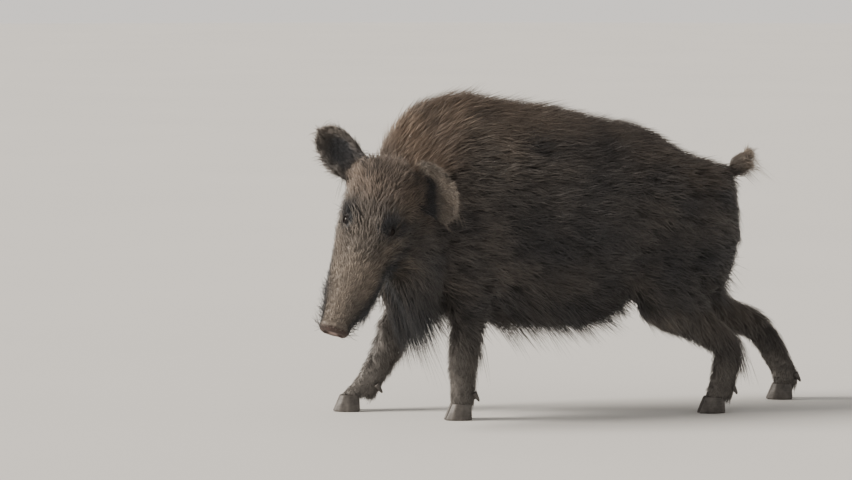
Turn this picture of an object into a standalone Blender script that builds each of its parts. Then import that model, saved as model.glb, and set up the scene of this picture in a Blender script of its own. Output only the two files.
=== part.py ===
"""A wild boar in mid stride, its head low and turned to its left, as a life-size still model.

The animal faces -Y, its left side is towards +X and +Z is up. The origin is on the floor, under the
middle of the whole model. The flesh is modelled whole, out to the tips of the coat, as forms swept
through named cross-sections and fused. Thin cuts then part it into named pieces. The ears, eyes,
claws and dewclaws are pieces of their own.
"""

import math
from dataclasses import dataclass

import bmesh
import bpy
from mathutils import Matrix, Vector
from mathutils.bvhtree import BVHTree

GAP = 0.0004  # left between neighbouring pieces
FUSE_GRAIN = 0.006  # size of the cells in which the swept forms are fused
SMOOTH_PASSES = 7
SMALLEST_PART = 12  # points; a cut can leave a flat crumb with fewer
FLESH_KEEP = 0.027  # share of the fused surface's triangles that stays
TO_MIDDLE = Vector((-0.056, -0.052, 0.0))  # puts the middle of the whole model over the origin

# The trunk from breast to buttock: station along the body, height of the back with its mane, height of
# the belly, half width, and how far the upper part narrows towards the back.
TRUNK = {
    "breast": (-0.405, 0.560, 0.300, 0.045, 0.10),
    "throat": (-0.375, 0.655, 0.258, 0.078, 0.20),
    "neck_root": (-0.320, 0.730, 0.246, 0.108, 0.35),
    "shoulder_point": (-0.245, 0.755, 0.238, 0.142, 0.45),
    "withers": (-0.150, 0.757, 0.218, 0.158, 0.50),
    "elbow": (-0.060, 0.747, 0.204, 0.162, 0.48),
    "ribs": (0.050, 0.727, 0.200, 0.168, 0.42),
    "loin": (0.130, 0.700, 0.203, 0.167, 0.36),
    "flank": (0.205, 0.690, 0.256, 0.160, 0.30),
    "haunch": (0.270, 0.668, 0.290, 0.153, 0.26),
    "hip": (0.340, 0.624, 0.314, 0.146, 0.22),
    "croup": (0.400, 0.600, 0.320, 0.132, 0.20),
    "tail_root": (0.446, 0.588, 0.322, 0.108, 0.15),
    "pin": (0.472, 0.560, 0.350, 0.075, 0.10),
    "buttock": (0.485, 0.520, 0.390, 0.040, 0.10),
}

# The head has its own frame: X to its left, -Y from the crown to the snout, Z out of the forehead.
CROWN = Vector((0.162, -0.404, 0.577))  # between the ears
HEAD_YAW = math.radians(73)  # to the animal's left
HEAD_PITCH = math.radians(69)  # nose down
HEAD_TILT = math.radians(-16)  # the nose swung towards its own right side
# Each section: distance from the crown towards the snout, top and bottom of the outline, half width,
# how far the upper part narrows, and squareness.
SKULL = {
    "nape": (-0.050, -0.030, -0.165, 0.080, 0.10, 2.1),
    "crown": (0.000, 0.000, -0.176, 0.092, 0.12, 2.2),
    "forehead": (0.060, 0.016, -0.176, 0.093, 0.18, 2.3),
    "eyes": (0.127, 0.020, -0.160, 0.087, 0.26, 2.3),
    "cheek": (0.190, 0.014, -0.134, 0.075, 0.32, 2.4),
    "muzzle": (0.260, 0.010, -0.104, 0.063, 0.36, 2.4),
    "lip": (0.325, 0.013, -0.076, 0.050, 0.28, 2.4),
    "snout_neck": (0.352, 0.018, -0.052, 0.041, 0.20, 2.3),
    "snout_rim": (0.372, 0.026, -0.044, 0.041, 0.12, 2.2),
    "snout_face": (0.388, 0.020, -0.038, 0.037, 0.08, 2.2),
}
JAW = {
    "angle": (0.030, -0.080, -0.184, 0.082, 0.0, 2.1),
    "jowl": (0.110, -0.070, -0.182, 0.080, 0.0, 2.1),
    "corner": (0.200, -0.060, -0.146, 0.056, 0.0, 2.1),
    "chin": (0.290, -0.054, -0.112, 0.038, 0.0, 2.1),
    "jaw_tip": (0.350, -0.052, -0.082, 0.022, 0.0, 2.0),
}
# Swellings on both sides of the head: offset from the middle, distance from the crown, height, radii.
SWELLINGS = {
    "brow": ((0.052, 0.098, -0.012), (0.030, 0.042, 0.022)),
    "cheekbone": ((0.064, 0.120, -0.066), (0.027, 0.062, 0.032)),
    "jowl": ((0.066, 0.062, -0.128), (0.034, 0.070, 0.056)),
    "lip_corner": ((0.034, 0.262, -0.058), (0.026, 0.060, 0.034)),
    "crest": ((0.024, -0.010, -0.020), (0.044, 0.052, 0.026)),
}
# Rounded masses of the body, in its own frame: centre and radii.
MASSES = {
    "neck_inside": ((0.084, -0.318, 0.385), (0.082, 0.086, 0.112)),
    "neck_bend": ((0.030, -0.362, 0.476), (0.108, 0.090, 0.150)),
    "ham_left": ((0.074, 0.390, 0.420), (0.078, 0.080, 0.150)),
    "ham_right": ((-0.074, 0.388, 0.388), (0.078, 0.084, 0.150)),
}
SNOUT_DEPTH = 0.015  # of the bare disc
SNOUT_LENGTH = 0.388
NOSTRIL = (0.0190, -0.008, 0.0052, 0.0085, 0.012)  # offset, height, half width, half height, depth
MOUTH_CORNER = (0.205, -0.068)  # distance from the crown, height
MOUTH_FRONT = (0.380, -0.050)
EYE_RADIUS = 0.0125
EYE_PLACE = (0.0610, 0.127)  # offset from the middle, distance from the crown
EYE_SUNK = 0.0070  # of its centre under the surface

# Each leg: its joints from shoulder or hip down to the fetlock, then the middle of the foot.
LEGS = {
    "foreleg_left": {
        "joints": (
            (0.075, -0.190, 0.500), (0.108, -0.195, 0.310),
            (0.107, -0.210, 0.125), (0.106, -0.212, 0.065),
        ),
        "foot": (0.106, -0.214),
        "heading": 4,
    },
    "foreleg_right": {
        "joints": (
            (-0.072, -0.225, 0.500), (-0.106, -0.285, 0.300),
            (-0.104, -0.362, 0.118), (-0.102, -0.400, 0.062),
        ),
        "foot": (-0.100, -0.438),
        "heading": -4,
    },
    "hindleg_left": {
        "joints": (
            (0.052, 0.365, 0.470), (0.104, 0.272, 0.300),
            (0.110, 0.431, 0.158), (0.107, 0.413, 0.062),
        ),
        "foot": (0.106, 0.398),
        "heading": 6,
    },
    "hindleg_right": {
        "joints": (
            (-0.052, 0.370, 0.470), (-0.100, 0.328, 0.288),
            (-0.106, 0.574, 0.178), (-0.104, 0.636, 0.062),
        ),
        "foot": (-0.104, 0.632),
        "heading": -6,
    },
}
# Half width, reach forwards and reach backwards of a leg at its first joint, its second, half way to
# the third, at the third, half way to the fetlock, at the fetlock, and at the foot.
FORE_SECTIONS = (
    (0.070, 0.090, 0.090),
    (0.055, 0.072, 0.072),
    (0.042, 0.042, 0.048),
    (0.034, 0.037, 0.036),
    (0.029, 0.032, 0.034),
    (0.028, 0.028, 0.032),
    (0.030, 0.030, 0.028),
)
HIND_SECTIONS = (
    (0.080, 0.110, 0.100),
    (0.066, 0.088, 0.148),
    (0.050, 0.062, 0.052),
    (0.036, 0.040, 0.042),
    (0.031, 0.032, 0.036),
    (0.029, 0.028, 0.034),
    (0.030, 0.030, 0.028),
)

TAIL = {
    "root": ((0.000, 0.440, 0.548), 0.022),
    "stem": ((0.004, 0.470, 0.560), 0.017),
    "tuft": ((0.012, 0.489, 0.584), 0.026),
    "end": ((0.018, 0.502, 0.606), 0.013),
    "tip": ((0.020, 0.507, 0.616), 0.004),
}

# The ears, in the head's frame: middle of the base, direction to the tip, direction that the hollow
# faces, length, half width where widest, depth of the hollow, and how far the tip curls and sways.
EARS = {
    "ear_left": (
        (0.060, 0.018, -0.034), (0.97, -0.14, -0.05), (0.10, -0.45, 0.89),
        0.126, 0.062, 0.036, 0.004, 0.036,
    ),
    "ear_right": (
        (-0.066, 0.000, -0.040), (-0.87, 0.48, 0.02), (-0.40, -0.30, 0.86),
        0.140, 0.054, 0.036, 0.008, 0.006,
    ),
}
EAR_THICKNESS = 0.009
TAIL_CUT = (0.006, 0.477, 0.569)
TAIL_ALONG = (0.15, 0.70, 0.70)

CLAW_TOP = 0.040
# A claw's outline at the floor and at its crown, from the heel to the toe: distance forwards and outwards.
CLAW_SOLE = (
    (-0.026, 0.0055), (-0.022, 0.0235), (0.004, 0.0265),
    (0.026, 0.0200), (0.040, 0.0085), (0.036, 0.0025),
)
CLAW_CROWN = (
    (-0.024, 0.0050), (-0.020, 0.0215), (0.000, 0.0240),
    (0.016, 0.0195), (0.022, 0.0090), (0.020, 0.0025),
)
DEWCLAW = (0.0085, 0.0045, 0.026)  # radius at the root, at the tip, length
DEWCLAW_LEAN = 215  # degrees from upright


@dataclass
class Section:
    """One cross-section of a swept form, in a plane across the sweep."""

    centre: Vector
    up: Vector
    half_width: float
    rise: float
    drop: float
    ridge: float = 0.0
    square: float = 2.0

    def numbers(self):
        return [*self.centre, *self.up, self.half_width, self.rise, self.drop, self.ridge, self.square]

    @classmethod
    def from_numbers(cls, n):
        return cls(Vector(n[0:3]), Vector(n[3:6]).normalized(), *n[6:])


def clear_scene():
    for thing in list(bpy.data.objects):
        bpy.data.objects.remove(thing, do_unlink=True)


def new_collection(name):
    made = bpy.data.collections.new(name)
    bpy.context.scene.collection.children.link(made)
    return made


def new_material(name, colour, roughness):
    """A Principled material; the colour is linear."""
    made = bpy.data.materials.new(name)
    made.use_nodes = True
    shader = made.node_tree.nodes["Principled BSDF"]
    shader.inputs["Base Color"].default_value = (*colour, 1.0)
    shader.inputs["Roughness"].default_value = roughness
    shader.inputs["Metallic"].default_value = 0.0
    return made


def new_object(name, bm, where, turn_outwards=True):
    """The bmesh as an object, its faces outwards. It frees bm."""
    if turn_outwards:
        bmesh.ops.recalc_face_normals(bm, faces=bm.faces)
    mesh = bpy.data.meshes.new(name)
    bm.to_mesh(mesh)
    bm.free()
    thing = bpy.data.objects.new(name, mesh)
    where.objects.link(thing)
    return thing


def apply_modifiers(thing):
    """Replaces the object's mesh with what its modifiers make of it."""
    bpy.context.view_layer.update()
    graph = bpy.context.evaluated_depsgraph_get()
    mesh = bpy.data.meshes.new_from_object(thing.evaluated_get(graph))
    thing.modifiers.clear()
    thing.data = mesh


def boolean(thing, other, operation):
    modifier = thing.modifiers.new(other.name, "BOOLEAN")
    modifier.operation = operation
    modifier.solver = "EXACT"
    modifier.object = other
    apply_modifiers(thing)


def smooth_between(sections, steps):
    """Sections on a smooth curve through those given, with this many steps from each to the next."""
    rows = [s.numbers() for s in sections]
    rows = [rows[0], *rows, rows[-1]]
    found = []
    for i in range(1, len(rows) - 2):
        for k in range(steps):
            t = k / steps
            mixed = []
            for p, q, r, s in zip(*rows[i - 1 : i + 3]):
                bend = (2 * p - 5 * q + 4 * r - s) * t**2 + (3 * q - p - 3 * r + s) * t**3
                mixed.append(0.5 * (2 * q + (r - p) * t + bend))
            found.append(mixed)
    found.append(rows[-1])
    return [Section.from_numbers(n) for n in found]


def sweep(bm, sections, heading=None, steps=4, around=28):
    """Adds a closed form lofted through the sections, which are square to heading if it is given."""
    sections = smooth_between(sections, steps)
    rings = []
    for i, section in enumerate(sections):
        ahead = sections[min(i + 1, len(sections) - 1)].centre
        behind = sections[max(i - 1, 0)].centre
        along = heading or (ahead - behind).normalized()
        side = section.up.cross(along).normalized()
        up = along.cross(side)
        ring = []
        for k in range(around):
            angle = 2 * math.pi * k / around
            across = math.copysign(abs(math.cos(angle)) ** (2 / section.square), math.cos(angle))
            over = math.copysign(abs(math.sin(angle)) ** (2 / section.square), math.sin(angle))
            across *= section.half_width * (1 - section.ridge * max(over, 0) ** 2)
            over *= section.rise if over > 0 else section.drop
            ring.append(bm.verts.new(section.centre + side * across + up * over))
        rings.append(ring)
    for near, far in zip(rings, rings[1:]):
        for k in range(around):
            n = (k + 1) % around
            bm.faces.new((near[k], near[n], far[n], far[k]))
    bm.faces.new(rings[0][::-1])
    bm.faces.new(rings[-1])


def head_frame():
    turn = Matrix.Rotation(HEAD_YAW, 4, "Z") @ Matrix.Rotation(HEAD_PITCH, 4, "X")
    return Matrix.Translation(CROWN) @ turn @ Matrix.Rotation(HEAD_TILT, 4, "Z")


def trunk_sections():
    made = []
    for station, back, belly, half_width, ridge in TRUNK.values():
        middle = belly + 0.46 * (back - belly)
        centre = Vector((0, station, middle))
        rise, drop = back - middle, middle - belly
        made.append(Section(centre, Vector((0, 0, 1)), half_width, rise, drop, ridge, 2.1))
    return made


def head_sections(table):
    frame = head_frame()
    out = frame.to_3x3().col[2]
    made = []
    for along, top, bottom, half_width, ridge, square in table.values():
        middle = top + 0.5 * (bottom - top)
        centre = frame @ Vector((0, -along, middle))
        made.append(Section(centre, out, half_width, top - middle, middle - bottom, ridge, square))
    return made


def neck_sections():
    """From inside the shoulders, curving to the left into the back of the head."""
    frame = head_frame()
    turn = frame.to_3x3()
    start = Vector((0, -0.150, 0.490))
    end = frame @ Vector((0, -0.040, -0.080))
    leave = Vector((0, -0.300, 0.000))
    arrive = turn @ Vector((0, 0, 0.200))
    upright = -(turn @ Vector((0, -1, 0)))
    made = []
    for k in range(7):
        t = k / 6
        place = (
            start * (2 * t**3 - 3 * t**2 + 1)
            + leave * (t**3 - 2 * t**2 + t)
            + end * (3 * t**2 - 2 * t**3)
            + arrive * (t**3 - t**2)
        )
        up = Vector((0, 0, 1)).lerp(upright, t)
        half_width = 0.125 + (0.088 - 0.125) * t
        rise = 0.235 + (0.072 - 0.235) * t
        drop = 0.225 + (0.130 - 0.225) * t
        made.append(Section(place, up, half_width, rise, drop, 0.45 * (1 - t), 2.1))
    return made


def leg_sections(leg, table):
    joints = [Vector(j) for j in leg["joints"]]
    x, y = leg["foot"]
    shoulder, elbow, knee, fetlock = joints
    places = [shoulder, elbow, (elbow + knee) / 2, knee, (knee + fetlock) / 2, fetlock]
    places.append(Vector((x, y, 0.020)))
    made = []
    for place, (half_width, front, rear) in zip(places, table):
        made.append(Section(place, Vector((0, -1, 0)), half_width, front, rear, 0.0, 2.1))
    return made


def tail_sections():
    made = []
    for place, radius in TAIL.values():
        made.append(Section(Vector(place), Vector((0, -1, 0)), radius, radius, radius))
    return made


def add_swellings(bm):
    frame = head_frame()
    for centre, radii in MASSES.values():
        place = Matrix.Translation(centre) @ Matrix.Diagonal((*radii, 1.0))
        bmesh.ops.create_uvsphere(bm, u_segments=24, v_segments=16, radius=1.0, matrix=place)
    for (offset, along, height), radii in SWELLINGS.values():
        for sign in (-1, 1):
            place = frame @ Matrix.Translation((sign * offset, -along, height))
            place = place @ Matrix.Diagonal((*radii, 1.0))
            bmesh.ops.create_uvsphere(bm, u_segments=20, v_segments=12, radius=1.0, matrix=place)


def fuse(thing):
    """Fuses the overlapping closed forms of the object into one smooth surface."""
    remesh = thing.modifiers.new("fuse", "REMESH")
    remesh.mode = "VOXEL"
    remesh.voxel_size = FUSE_GRAIN
    smooth = thing.modifiers.new("smooth", "SMOOTH")
    smooth.factor = 0.5
    smooth.iterations = SMOOTH_PASSES
    apply_modifiers(thing)


def thin_out(thing):
    """Leaves few triangles where the surface is flat and more where it bends."""
    thinner = thing.modifiers.new("thin", "DECIMATE")
    thinner.ratio = FLESH_KEEP
    thinner.use_collapse_triangulate = True
    apply_modifiers(thing)


def slab(name, centre, normal, across, half_long, half_wide, where, thickness=GAP):
    """A thin box, square to normal, whose long side is across."""
    normal = Vector(normal).normalized()
    across = (Vector(across) - normal * normal.dot(Vector(across))).normalized()
    third = normal.cross(across)
    bm = bmesh.new()
    bmesh.ops.create_cube(bm, size=1.0)
    turn = Matrix((across * 2 * half_long, third * 2 * half_wide, normal * thickness)).transposed().to_4x4()
    bm.transform(Matrix.Translation(Vector(centre)) @ turn)
    return new_object(name, bm, where, turn_outwards=False)


def partings(where):
    """The thin cuts that part the flesh."""
    x, y, z = Vector((1, 0, 0)), Vector((0, 1, 0)), Vector((0, 0, 1))
    made = [
        slab("part_nape", (0.045, -0.362, 0.470), (0.50, -0.85, -0.10), (0.85, 0.50, 0), 0.24, 0.32, where),
        slab("part_neck", (0, -0.305, 0.500), (0, -0.927, 0.374), x, 0.30, 0.32, where),
        slab("part_chest", (0, -0.050, 0.480), y, x, 0.30, 0.35, where),
        slab("part_loin", (0, 0.165, 0.480), y, x, 0.30, 0.35, where),
        slab("part_thighs", (0, 0.348, 0.262), (0, -0.196, 0.981), y, 0.165, 0.25, where),
        slab("part_tail", TAIL_CUT, TAIL_ALONG, x, 0.035, 0.035, where),
    ]
    for side in ("left", "right"):
        _, elbow, knee, _ = (Vector(j) for j in LEGS[f"foreleg_{side}"]["joints"])
        _, _, hock, _ = (Vector(j) for j in LEGS[f"hindleg_{side}"]["joints"])
        forearm = elbow.lerp(knee, 0.52 if side == "left" else 0.40)
        made.append(slab(f"part_forearm_{side}", forearm, z, y, 0.085, 0.065, where))
        made.append(slab(f"part_knee_{side}", knee, z, y, 0.070, 0.065, where))
        made.append(slab(f"part_hock_{side}", hock - z * 0.035, z, y, 0.080, 0.065, where))
    return made


def loose_parts(thing):
    """The vertex indices of each separate part of the mesh."""
    bm = bmesh.new()
    bm.from_mesh(thing.data)
    seen = set()
    found = []
    for start in bm.verts:
        if start in seen:
            continue
        island = [start]
        seen.add(start)
        for vertex in island:
            for edge in vertex.link_edges:
                other = edge.other_vert(vertex)
                if other not in seen:
                    seen.add(other)
                    island.append(other)
        if len(island) >= SMALLEST_PART:
            found.append({v.index for v in island})
    bm.free()
    return found


def split_and_name(thing, places, where):
    """Makes each loose part an object, named after the place that lies inside or nearest to it."""
    parts = loose_parts(thing)
    if len(parts) != len(places):
        raise ValueError(f"{len(parts)} parts for {len(places)} names")
    pieces = []
    for island in parts:
        bm = bmesh.new()
        bm.from_mesh(thing.data)
        bm.verts.ensure_lookup_table()
        bmesh.ops.delete(bm, geom=[v for v in bm.verts if v.index not in island], context="VERTS")
        middle = sum((v.co for v in bm.verts), Vector()) / len(bm.verts)
        pieces.append((middle, bm))
    for name, place in places.items():
        nearest = min(pieces, key=lambda piece: (piece[0] - place).length)
        pieces.remove(nearest)
        new_object(name, nearest[1], where)
    bpy.data.objects.remove(thing)


def ear_mesh(base, tip, face, length, half_width, hollow, curl, sway):
    """A cupped leaf, open towards face: an outer and an inner skin that meet at the rim."""
    tip = Vector(tip).normalized()
    face = (Vector(face) - tip * tip.dot(Vector(face))).normalized()
    side = tip.cross(face)
    bm = bmesh.new()
    rows, columns = 8, 8
    skins = []
    for inward in (False, True):
        skin = []
        for i in range(rows + 1):
            t = i / rows
            width = half_width * (0.74 + 0.62 * t - 0.30 * t**2) * math.sqrt(max(1 - t**3, 0.0004))
            depth = hollow * (1 - t) ** 0.7 + 0.004
            row = []
            for j in range(columns + 1):
                u = 2 * j / columns - 1
                thick = EAR_THICKNESS * (1 - 0.55 * t) if inward else 0.0
                across = width * u * (1 - 0.12 * inward) + sway * t**2
                place = Vector(base) + tip * length * t + side * across
                place += face * (thick * (1 - u**4) - depth * (1 - u * u) + curl * t**3)
                row.append(bm.verts.new(place))
            skin.append(row)
        skins.append(skin)
    outer, inner = skins
    for skin in skins:
        for i in range(rows):
            for j in range(columns):
                bm.faces.new((skin[i][j], skin[i][j + 1], skin[i + 1][j + 1], skin[i + 1][j]))
    rim = [(0, j) for j in range(columns)] + [(i, columns) for i in range(rows)]
    rim += [(rows, j) for j in range(columns, 0, -1)] + [(i, 0) for i in range(rows, 0, -1)]
    for (i, j), (k, m) in zip(rim, rim[1:] + rim[:1]):
        bm.faces.new((outer[i][j], outer[k][m], inner[k][m], inner[i][j]))
    bm.transform(head_frame())
    return bm


def swollen(thing, amount, where):
    """A copy of the object, its surface moved outwards a little, as a cutter."""
    bm = bmesh.new()
    bm.from_mesh(thing.data)
    bm.normal_update()
    for vertex in bm.verts:
        vertex.co += vertex.normal * amount
    return new_object(f"{thing.name}_swollen", bm, where)


def ball(name, centre, radii, where, detail=(14, 8)):
    bm = bmesh.new()
    bmesh.ops.create_uvsphere(bm, u_segments=detail[0], v_segments=detail[1], radius=1.0)
    bm.transform(Matrix.Diagonal((*radii, 1.0)))
    bm.transform(centre)
    return new_object(name, bm, where)


def mouth_cutter(where):
    """An L-shaped thin wall: it follows the mouth from the snout to its corner, then goes down."""
    front, corner = Vector(MOUTH_FRONT), Vector(MOUTH_CORNER)
    line = [front + (front - corner) * 0.3, corner, corner + Vector((-0.015, -0.200))]
    thin = [p + Vector((GAP, -GAP)) for p in line]
    bm = bmesh.new()
    outline = line + thin[::-1]
    sides = []
    for x in (-0.12, 0.12):
        sides.append([bm.verts.new((x, -along, height)) for along, height in outline])
    for k in range(len(outline)):
        n = (k + 1) % len(outline)
        bm.faces.new((sides[0][k], sides[0][n], sides[1][n], sides[1][k]))
    bm.faces.new(sides[0])
    bm.faces.new(sides[1][::-1])
    bm.transform(head_frame())
    return new_object("part_mouth", bm, where)


def eye_centres(flesh):
    """Each eye's centre, sunk under the surface of the face."""
    frame = head_frame()
    turn = frame.to_3x3()
    tree = BVHTree.FromObject(flesh, bpy.context.evaluated_depsgraph_get())
    offset, along = EYE_PLACE
    centres = {}
    for side, sign in (("left", 1), ("right", -1)):
        start = frame @ Vector((sign * offset, -along, 0.15))
        hit, normal, _, _ = tree.ray_cast(start, turn @ Vector((0, 0, -1)))
        centres[f"eye_{side}"] = hit - normal * EYE_SUNK
    return centres


def claw_mesh(sign):
    """One of a foot's two claws, its heel at +Y: a sole on the floor, and a narrower crown above."""
    bm = bmesh.new()
    rings = []
    for outline, height in ((CLAW_SOLE, 0.0), (CLAW_CROWN, CLAW_TOP - GAP)):
        rings.append([bm.verts.new((sign * x, -y, height)) for y, x in outline])
    lower, upper = rings
    count = len(lower)
    bulge = Vector((sign * 0.0012, 0, 0))
    middle = [bm.verts.new(a.co.lerp(b.co, 0.45) + bulge) for a, b in zip(lower, upper)]
    for a, b in ((lower, middle), (middle, upper)):
        for k in range(count):
            n = (k + 1) % count
            bm.faces.new((a[k], a[n], b[n], b[k]))
    bm.faces.new(lower[::-1])
    bm.faces.new(upper)
    edges = [e for e in bm.edges if e.calc_length() > 0.004]
    bmesh.ops.recalc_face_normals(bm, faces=bm.faces)
    bmesh.ops.bevel(bm, geom=edges, offset=0.0018, segments=1, affect="EDGES")
    return bm


def dewclaw_mesh():
    root, tip, length = DEWCLAW
    bm = bmesh.new()
    bmesh.ops.create_cone(bm, cap_ends=True, segments=10, radius1=root, radius2=tip, depth=length)
    rim = [e for e in bm.edges if all(v.co.z > 0 for v in e.verts)]
    bmesh.ops.bevel(bm, geom=rim, offset=0.0025, segments=1, affect="EDGES")
    return bm


def add_feet(boar, swell):
    """Claws on the floor and dewclaws behind them, on the four feet."""
    for name, leg in LEGS.items():
        x, y = leg["foot"]
        place = Matrix.Translation((x, y, 0)) @ Matrix.Rotation(math.radians(leg["heading"]), 4, "Z")
        behind = leg["joints"][3][1] - y + 0.032
        for label, sign in (("inner", -1), ("outer", 1)):
            sign *= 1 if x > 0 else -1
            claw = claw_mesh(sign)
            claw.transform(place)
            new_object(f"{name}_claw_{label}", claw, boar)
            dewclaw = dewclaw_mesh()
            lean = Matrix.Rotation(math.radians(DEWCLAW_LEAN), 4, "X")
            dewclaw.transform(place @ Matrix.Translation((sign * 0.019, behind, 0.054)) @ lean)
            boolean(new_object(f"{name}_dewclaw_{label}", dewclaw, boar), swell, "DIFFERENCE")


# Where the pieces of the flesh lie, in the body's frame or the head's.
BODY_PLACES = {
    "neck": (0.010, -0.325, 0.590),
    "throat": (0.060, -0.355, 0.330),
    "trunk_shoulders": (0, -0.200, 0.480),
    "trunk_barrel": (0, 0.060, 0.450),
    "trunk_hindquarters": (0, 0.320, 0.440),
    "tail": (0.012, 0.490, 0.585),
}
HEAD_PLACES = {
    "head": (0, -0.130, -0.070),
    "lower_jaw": (0, -0.260, -0.090),
    "snout": (0, -0.384, -0.010),
}
COATED = ("trunk", "neck", "throat", "head", "lower_jaw", "ear", "tail", "foreleg", "hindleg")
COLOURS = {
    # kind of surface: colour, roughness, and how the names of its pieces begin
    "coat": ((0.030, 0.025, 0.021), 0.85, COATED),
    "snout_skin": ((0.080, 0.055, 0.050), 0.55, ("snout",)),
    "eye_dark": ((0.012, 0.007, 0.005), 0.08, ("eye",)),
    "claw_horn": ((0.022, 0.018, 0.015), 0.50, ("claw",)),
}


def piece_places():
    frame = head_frame()
    places = {name: Vector(place) for name, place in BODY_PLACES.items()}
    places.update({name: frame @ Vector(place) for name, place in HEAD_PLACES.items()})
    for name, leg in LEGS.items():
        joints = [Vector(j) for j in leg["joints"]]
        upper, lower = ("forearm", "cannon") if name.startswith("fore") else ("thigh", "cannon")
        places[f"{name}_{upper}"] = joints[1].lerp(joints[2], 0.7)
        places[f"{name}_{lower}"] = joints[2].lerp(joints[3], 0.6)
    return places


def colour_pieces(boar):
    """Gives each piece a material of its own, in the colour of its kind."""
    for thing in boar.objects:
        kind = "claw" if "claw" in thing.name else thing.name
        for label, (colour, roughness, starts) in COLOURS.items():
            if kind.startswith(starts):
                thing.data.materials.clear()
                thing.data.materials.append(new_material(f"{thing.name}_{label}", colour, roughness))


def main():
    clear_scene()
    boar = new_collection("wild_boar")
    cutters = new_collection("cutters")
    cutters.hide_render = True
    frame = head_frame()
    nose = -frame.to_3x3().col[1]
    bm = bmesh.new()
    sweep(bm, trunk_sections(), Vector((0, 1, 0)))
    sweep(bm, neck_sections())
    sweep(bm, head_sections(SKULL), nose)
    sweep(bm, head_sections(JAW), nose)
    for name, leg in LEGS.items():
        sweep(bm, leg_sections(leg, FORE_SECTIONS if name.startswith("fore") else HIND_SECTIONS))
    sweep(bm, tail_sections())
    add_swellings(bm)
    flesh = new_object("flesh", bm, cutters)
    fuse(flesh)
    thin_out(flesh)
    swell = swollen(flesh, GAP, cutters)

    for name, centre in eye_centres(flesh).items():
        place = Matrix.Translation(centre) @ frame.to_3x3().to_4x4()
        boolean(flesh, ball(f"{name}_socket", place, [EYE_RADIUS + GAP] * 3, cutters), "DIFFERENCE")
        ball(name, place, [EYE_RADIUS] * 3, boar)
    offset, height, half_width, half_height, depth = NOSTRIL
    for sign in (-1, 1):
        place = frame @ Matrix.Translation((sign * offset, -SNOUT_LENGTH, height))
        nostril = ball(f"nostril_{sign}", place, (half_width, depth, half_height), cutters, (10, 6))
        boolean(flesh, nostril, "DIFFERENCE")
    snout = frame @ Vector((0, SNOUT_DEPTH - SNOUT_LENGTH, 0))
    boolean(flesh, slab("part_snout", snout, nose, frame.to_3x3().col[0], 0.10, 0.10, cutters), "DIFFERENCE")
    boolean(flesh, mouth_cutter(cutters), "DIFFERENCE")
    for cutter in partings(cutters):
        boolean(flesh, cutter, "DIFFERENCE")
    toes = slab("below_coronets", (0, 0, CLAW_TOP / 2), (0, 0, 1), (0, 1, 0), 1.0, 0.5, cutters, CLAW_TOP)
    boolean(flesh, toes, "DIFFERENCE")
    split_and_name(flesh, piece_places(), boar)

    for name, sizes in EARS.items():
        boolean(new_object(name, ear_mesh(*sizes), boar), swell, "DIFFERENCE")
    add_feet(boar, swell)
    for thing in boar.objects:
        thing.data.transform(Matrix.Translation(TO_MIDDLE))
    for cutter in cutters.objects:
        cutter.hide_render = True
        cutter.display_type = "WIRE"
    colour_pieces(boar)


if __name__ == "__main__":
    main()
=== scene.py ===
"""Dresses the wild boar's solids with skin, a bristly coat, eyes and horn, and sets it on a pale floor."""
import math

import bmesh
import bpy
import numpy as np
from bpy.props import FloatProperty, FloatVectorProperty, PointerProperty
from mathutils import Matrix, Vector, noise
from mathutils.bvhtree import BVHTree


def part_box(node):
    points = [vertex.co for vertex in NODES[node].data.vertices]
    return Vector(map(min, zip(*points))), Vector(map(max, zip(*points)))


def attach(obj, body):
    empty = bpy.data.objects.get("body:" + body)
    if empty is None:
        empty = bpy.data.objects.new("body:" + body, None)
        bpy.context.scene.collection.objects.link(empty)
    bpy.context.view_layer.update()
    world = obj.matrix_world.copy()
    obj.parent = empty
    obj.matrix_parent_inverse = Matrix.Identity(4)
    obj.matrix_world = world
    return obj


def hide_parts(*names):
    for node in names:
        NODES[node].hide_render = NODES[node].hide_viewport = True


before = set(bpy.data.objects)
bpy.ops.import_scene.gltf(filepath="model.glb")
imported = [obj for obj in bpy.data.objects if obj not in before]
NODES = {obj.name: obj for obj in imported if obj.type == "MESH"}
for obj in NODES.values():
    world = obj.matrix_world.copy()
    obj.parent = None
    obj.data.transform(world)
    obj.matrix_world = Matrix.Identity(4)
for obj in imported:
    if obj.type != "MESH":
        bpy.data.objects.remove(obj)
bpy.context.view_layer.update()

bl_info = {
    "name": "Wild boar coat",
    "version": (1, 0, 0),
    "blender": (4, 5, 0),
    "location": "View3D > Sidebar > Boar",
    "description": "Skin, bristly coat, eyes and hooves for a life-size wild boar",
    "category": "Object",
}


# Landmarks of the frame


def middle(node):
    low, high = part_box(node)
    return (Vector(low) + Vector(high)) / 2


def box_size(node):
    low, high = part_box(node)
    return Vector(high) - Vector(low)


EYE_CENTRES = {side: middle(f"eye_{side}") for side in ("left", "right")}
EYE_RADIUS = box_size("eye_left").z / 2
BETWEEN_EYES = (EYE_CENTRES["left"] + EYE_CENTRES["right"]) / 2
HEAD_LEFT = (EYE_CENTRES["left"] - EYE_CENTRES["right"]).normalized()
TO_SNOUT = middle("snout") - BETWEEN_EYES
TO_SNOUT -= HEAD_LEFT * TO_SNOUT.dot(HEAD_LEFT)
HEAD_LENGTH = TO_SNOUT.length  # from the eyes to the snout
HEAD_NOSE = TO_SNOUT.normalized()
HEAD_OUT = HEAD_NOSE.cross(HEAD_LEFT)  # out of the forehead
LEFT, NOSE, OUT = (np.array(axis) for axis in (HEAD_LEFT, HEAD_NOSE, HEAD_OUT))


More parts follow.
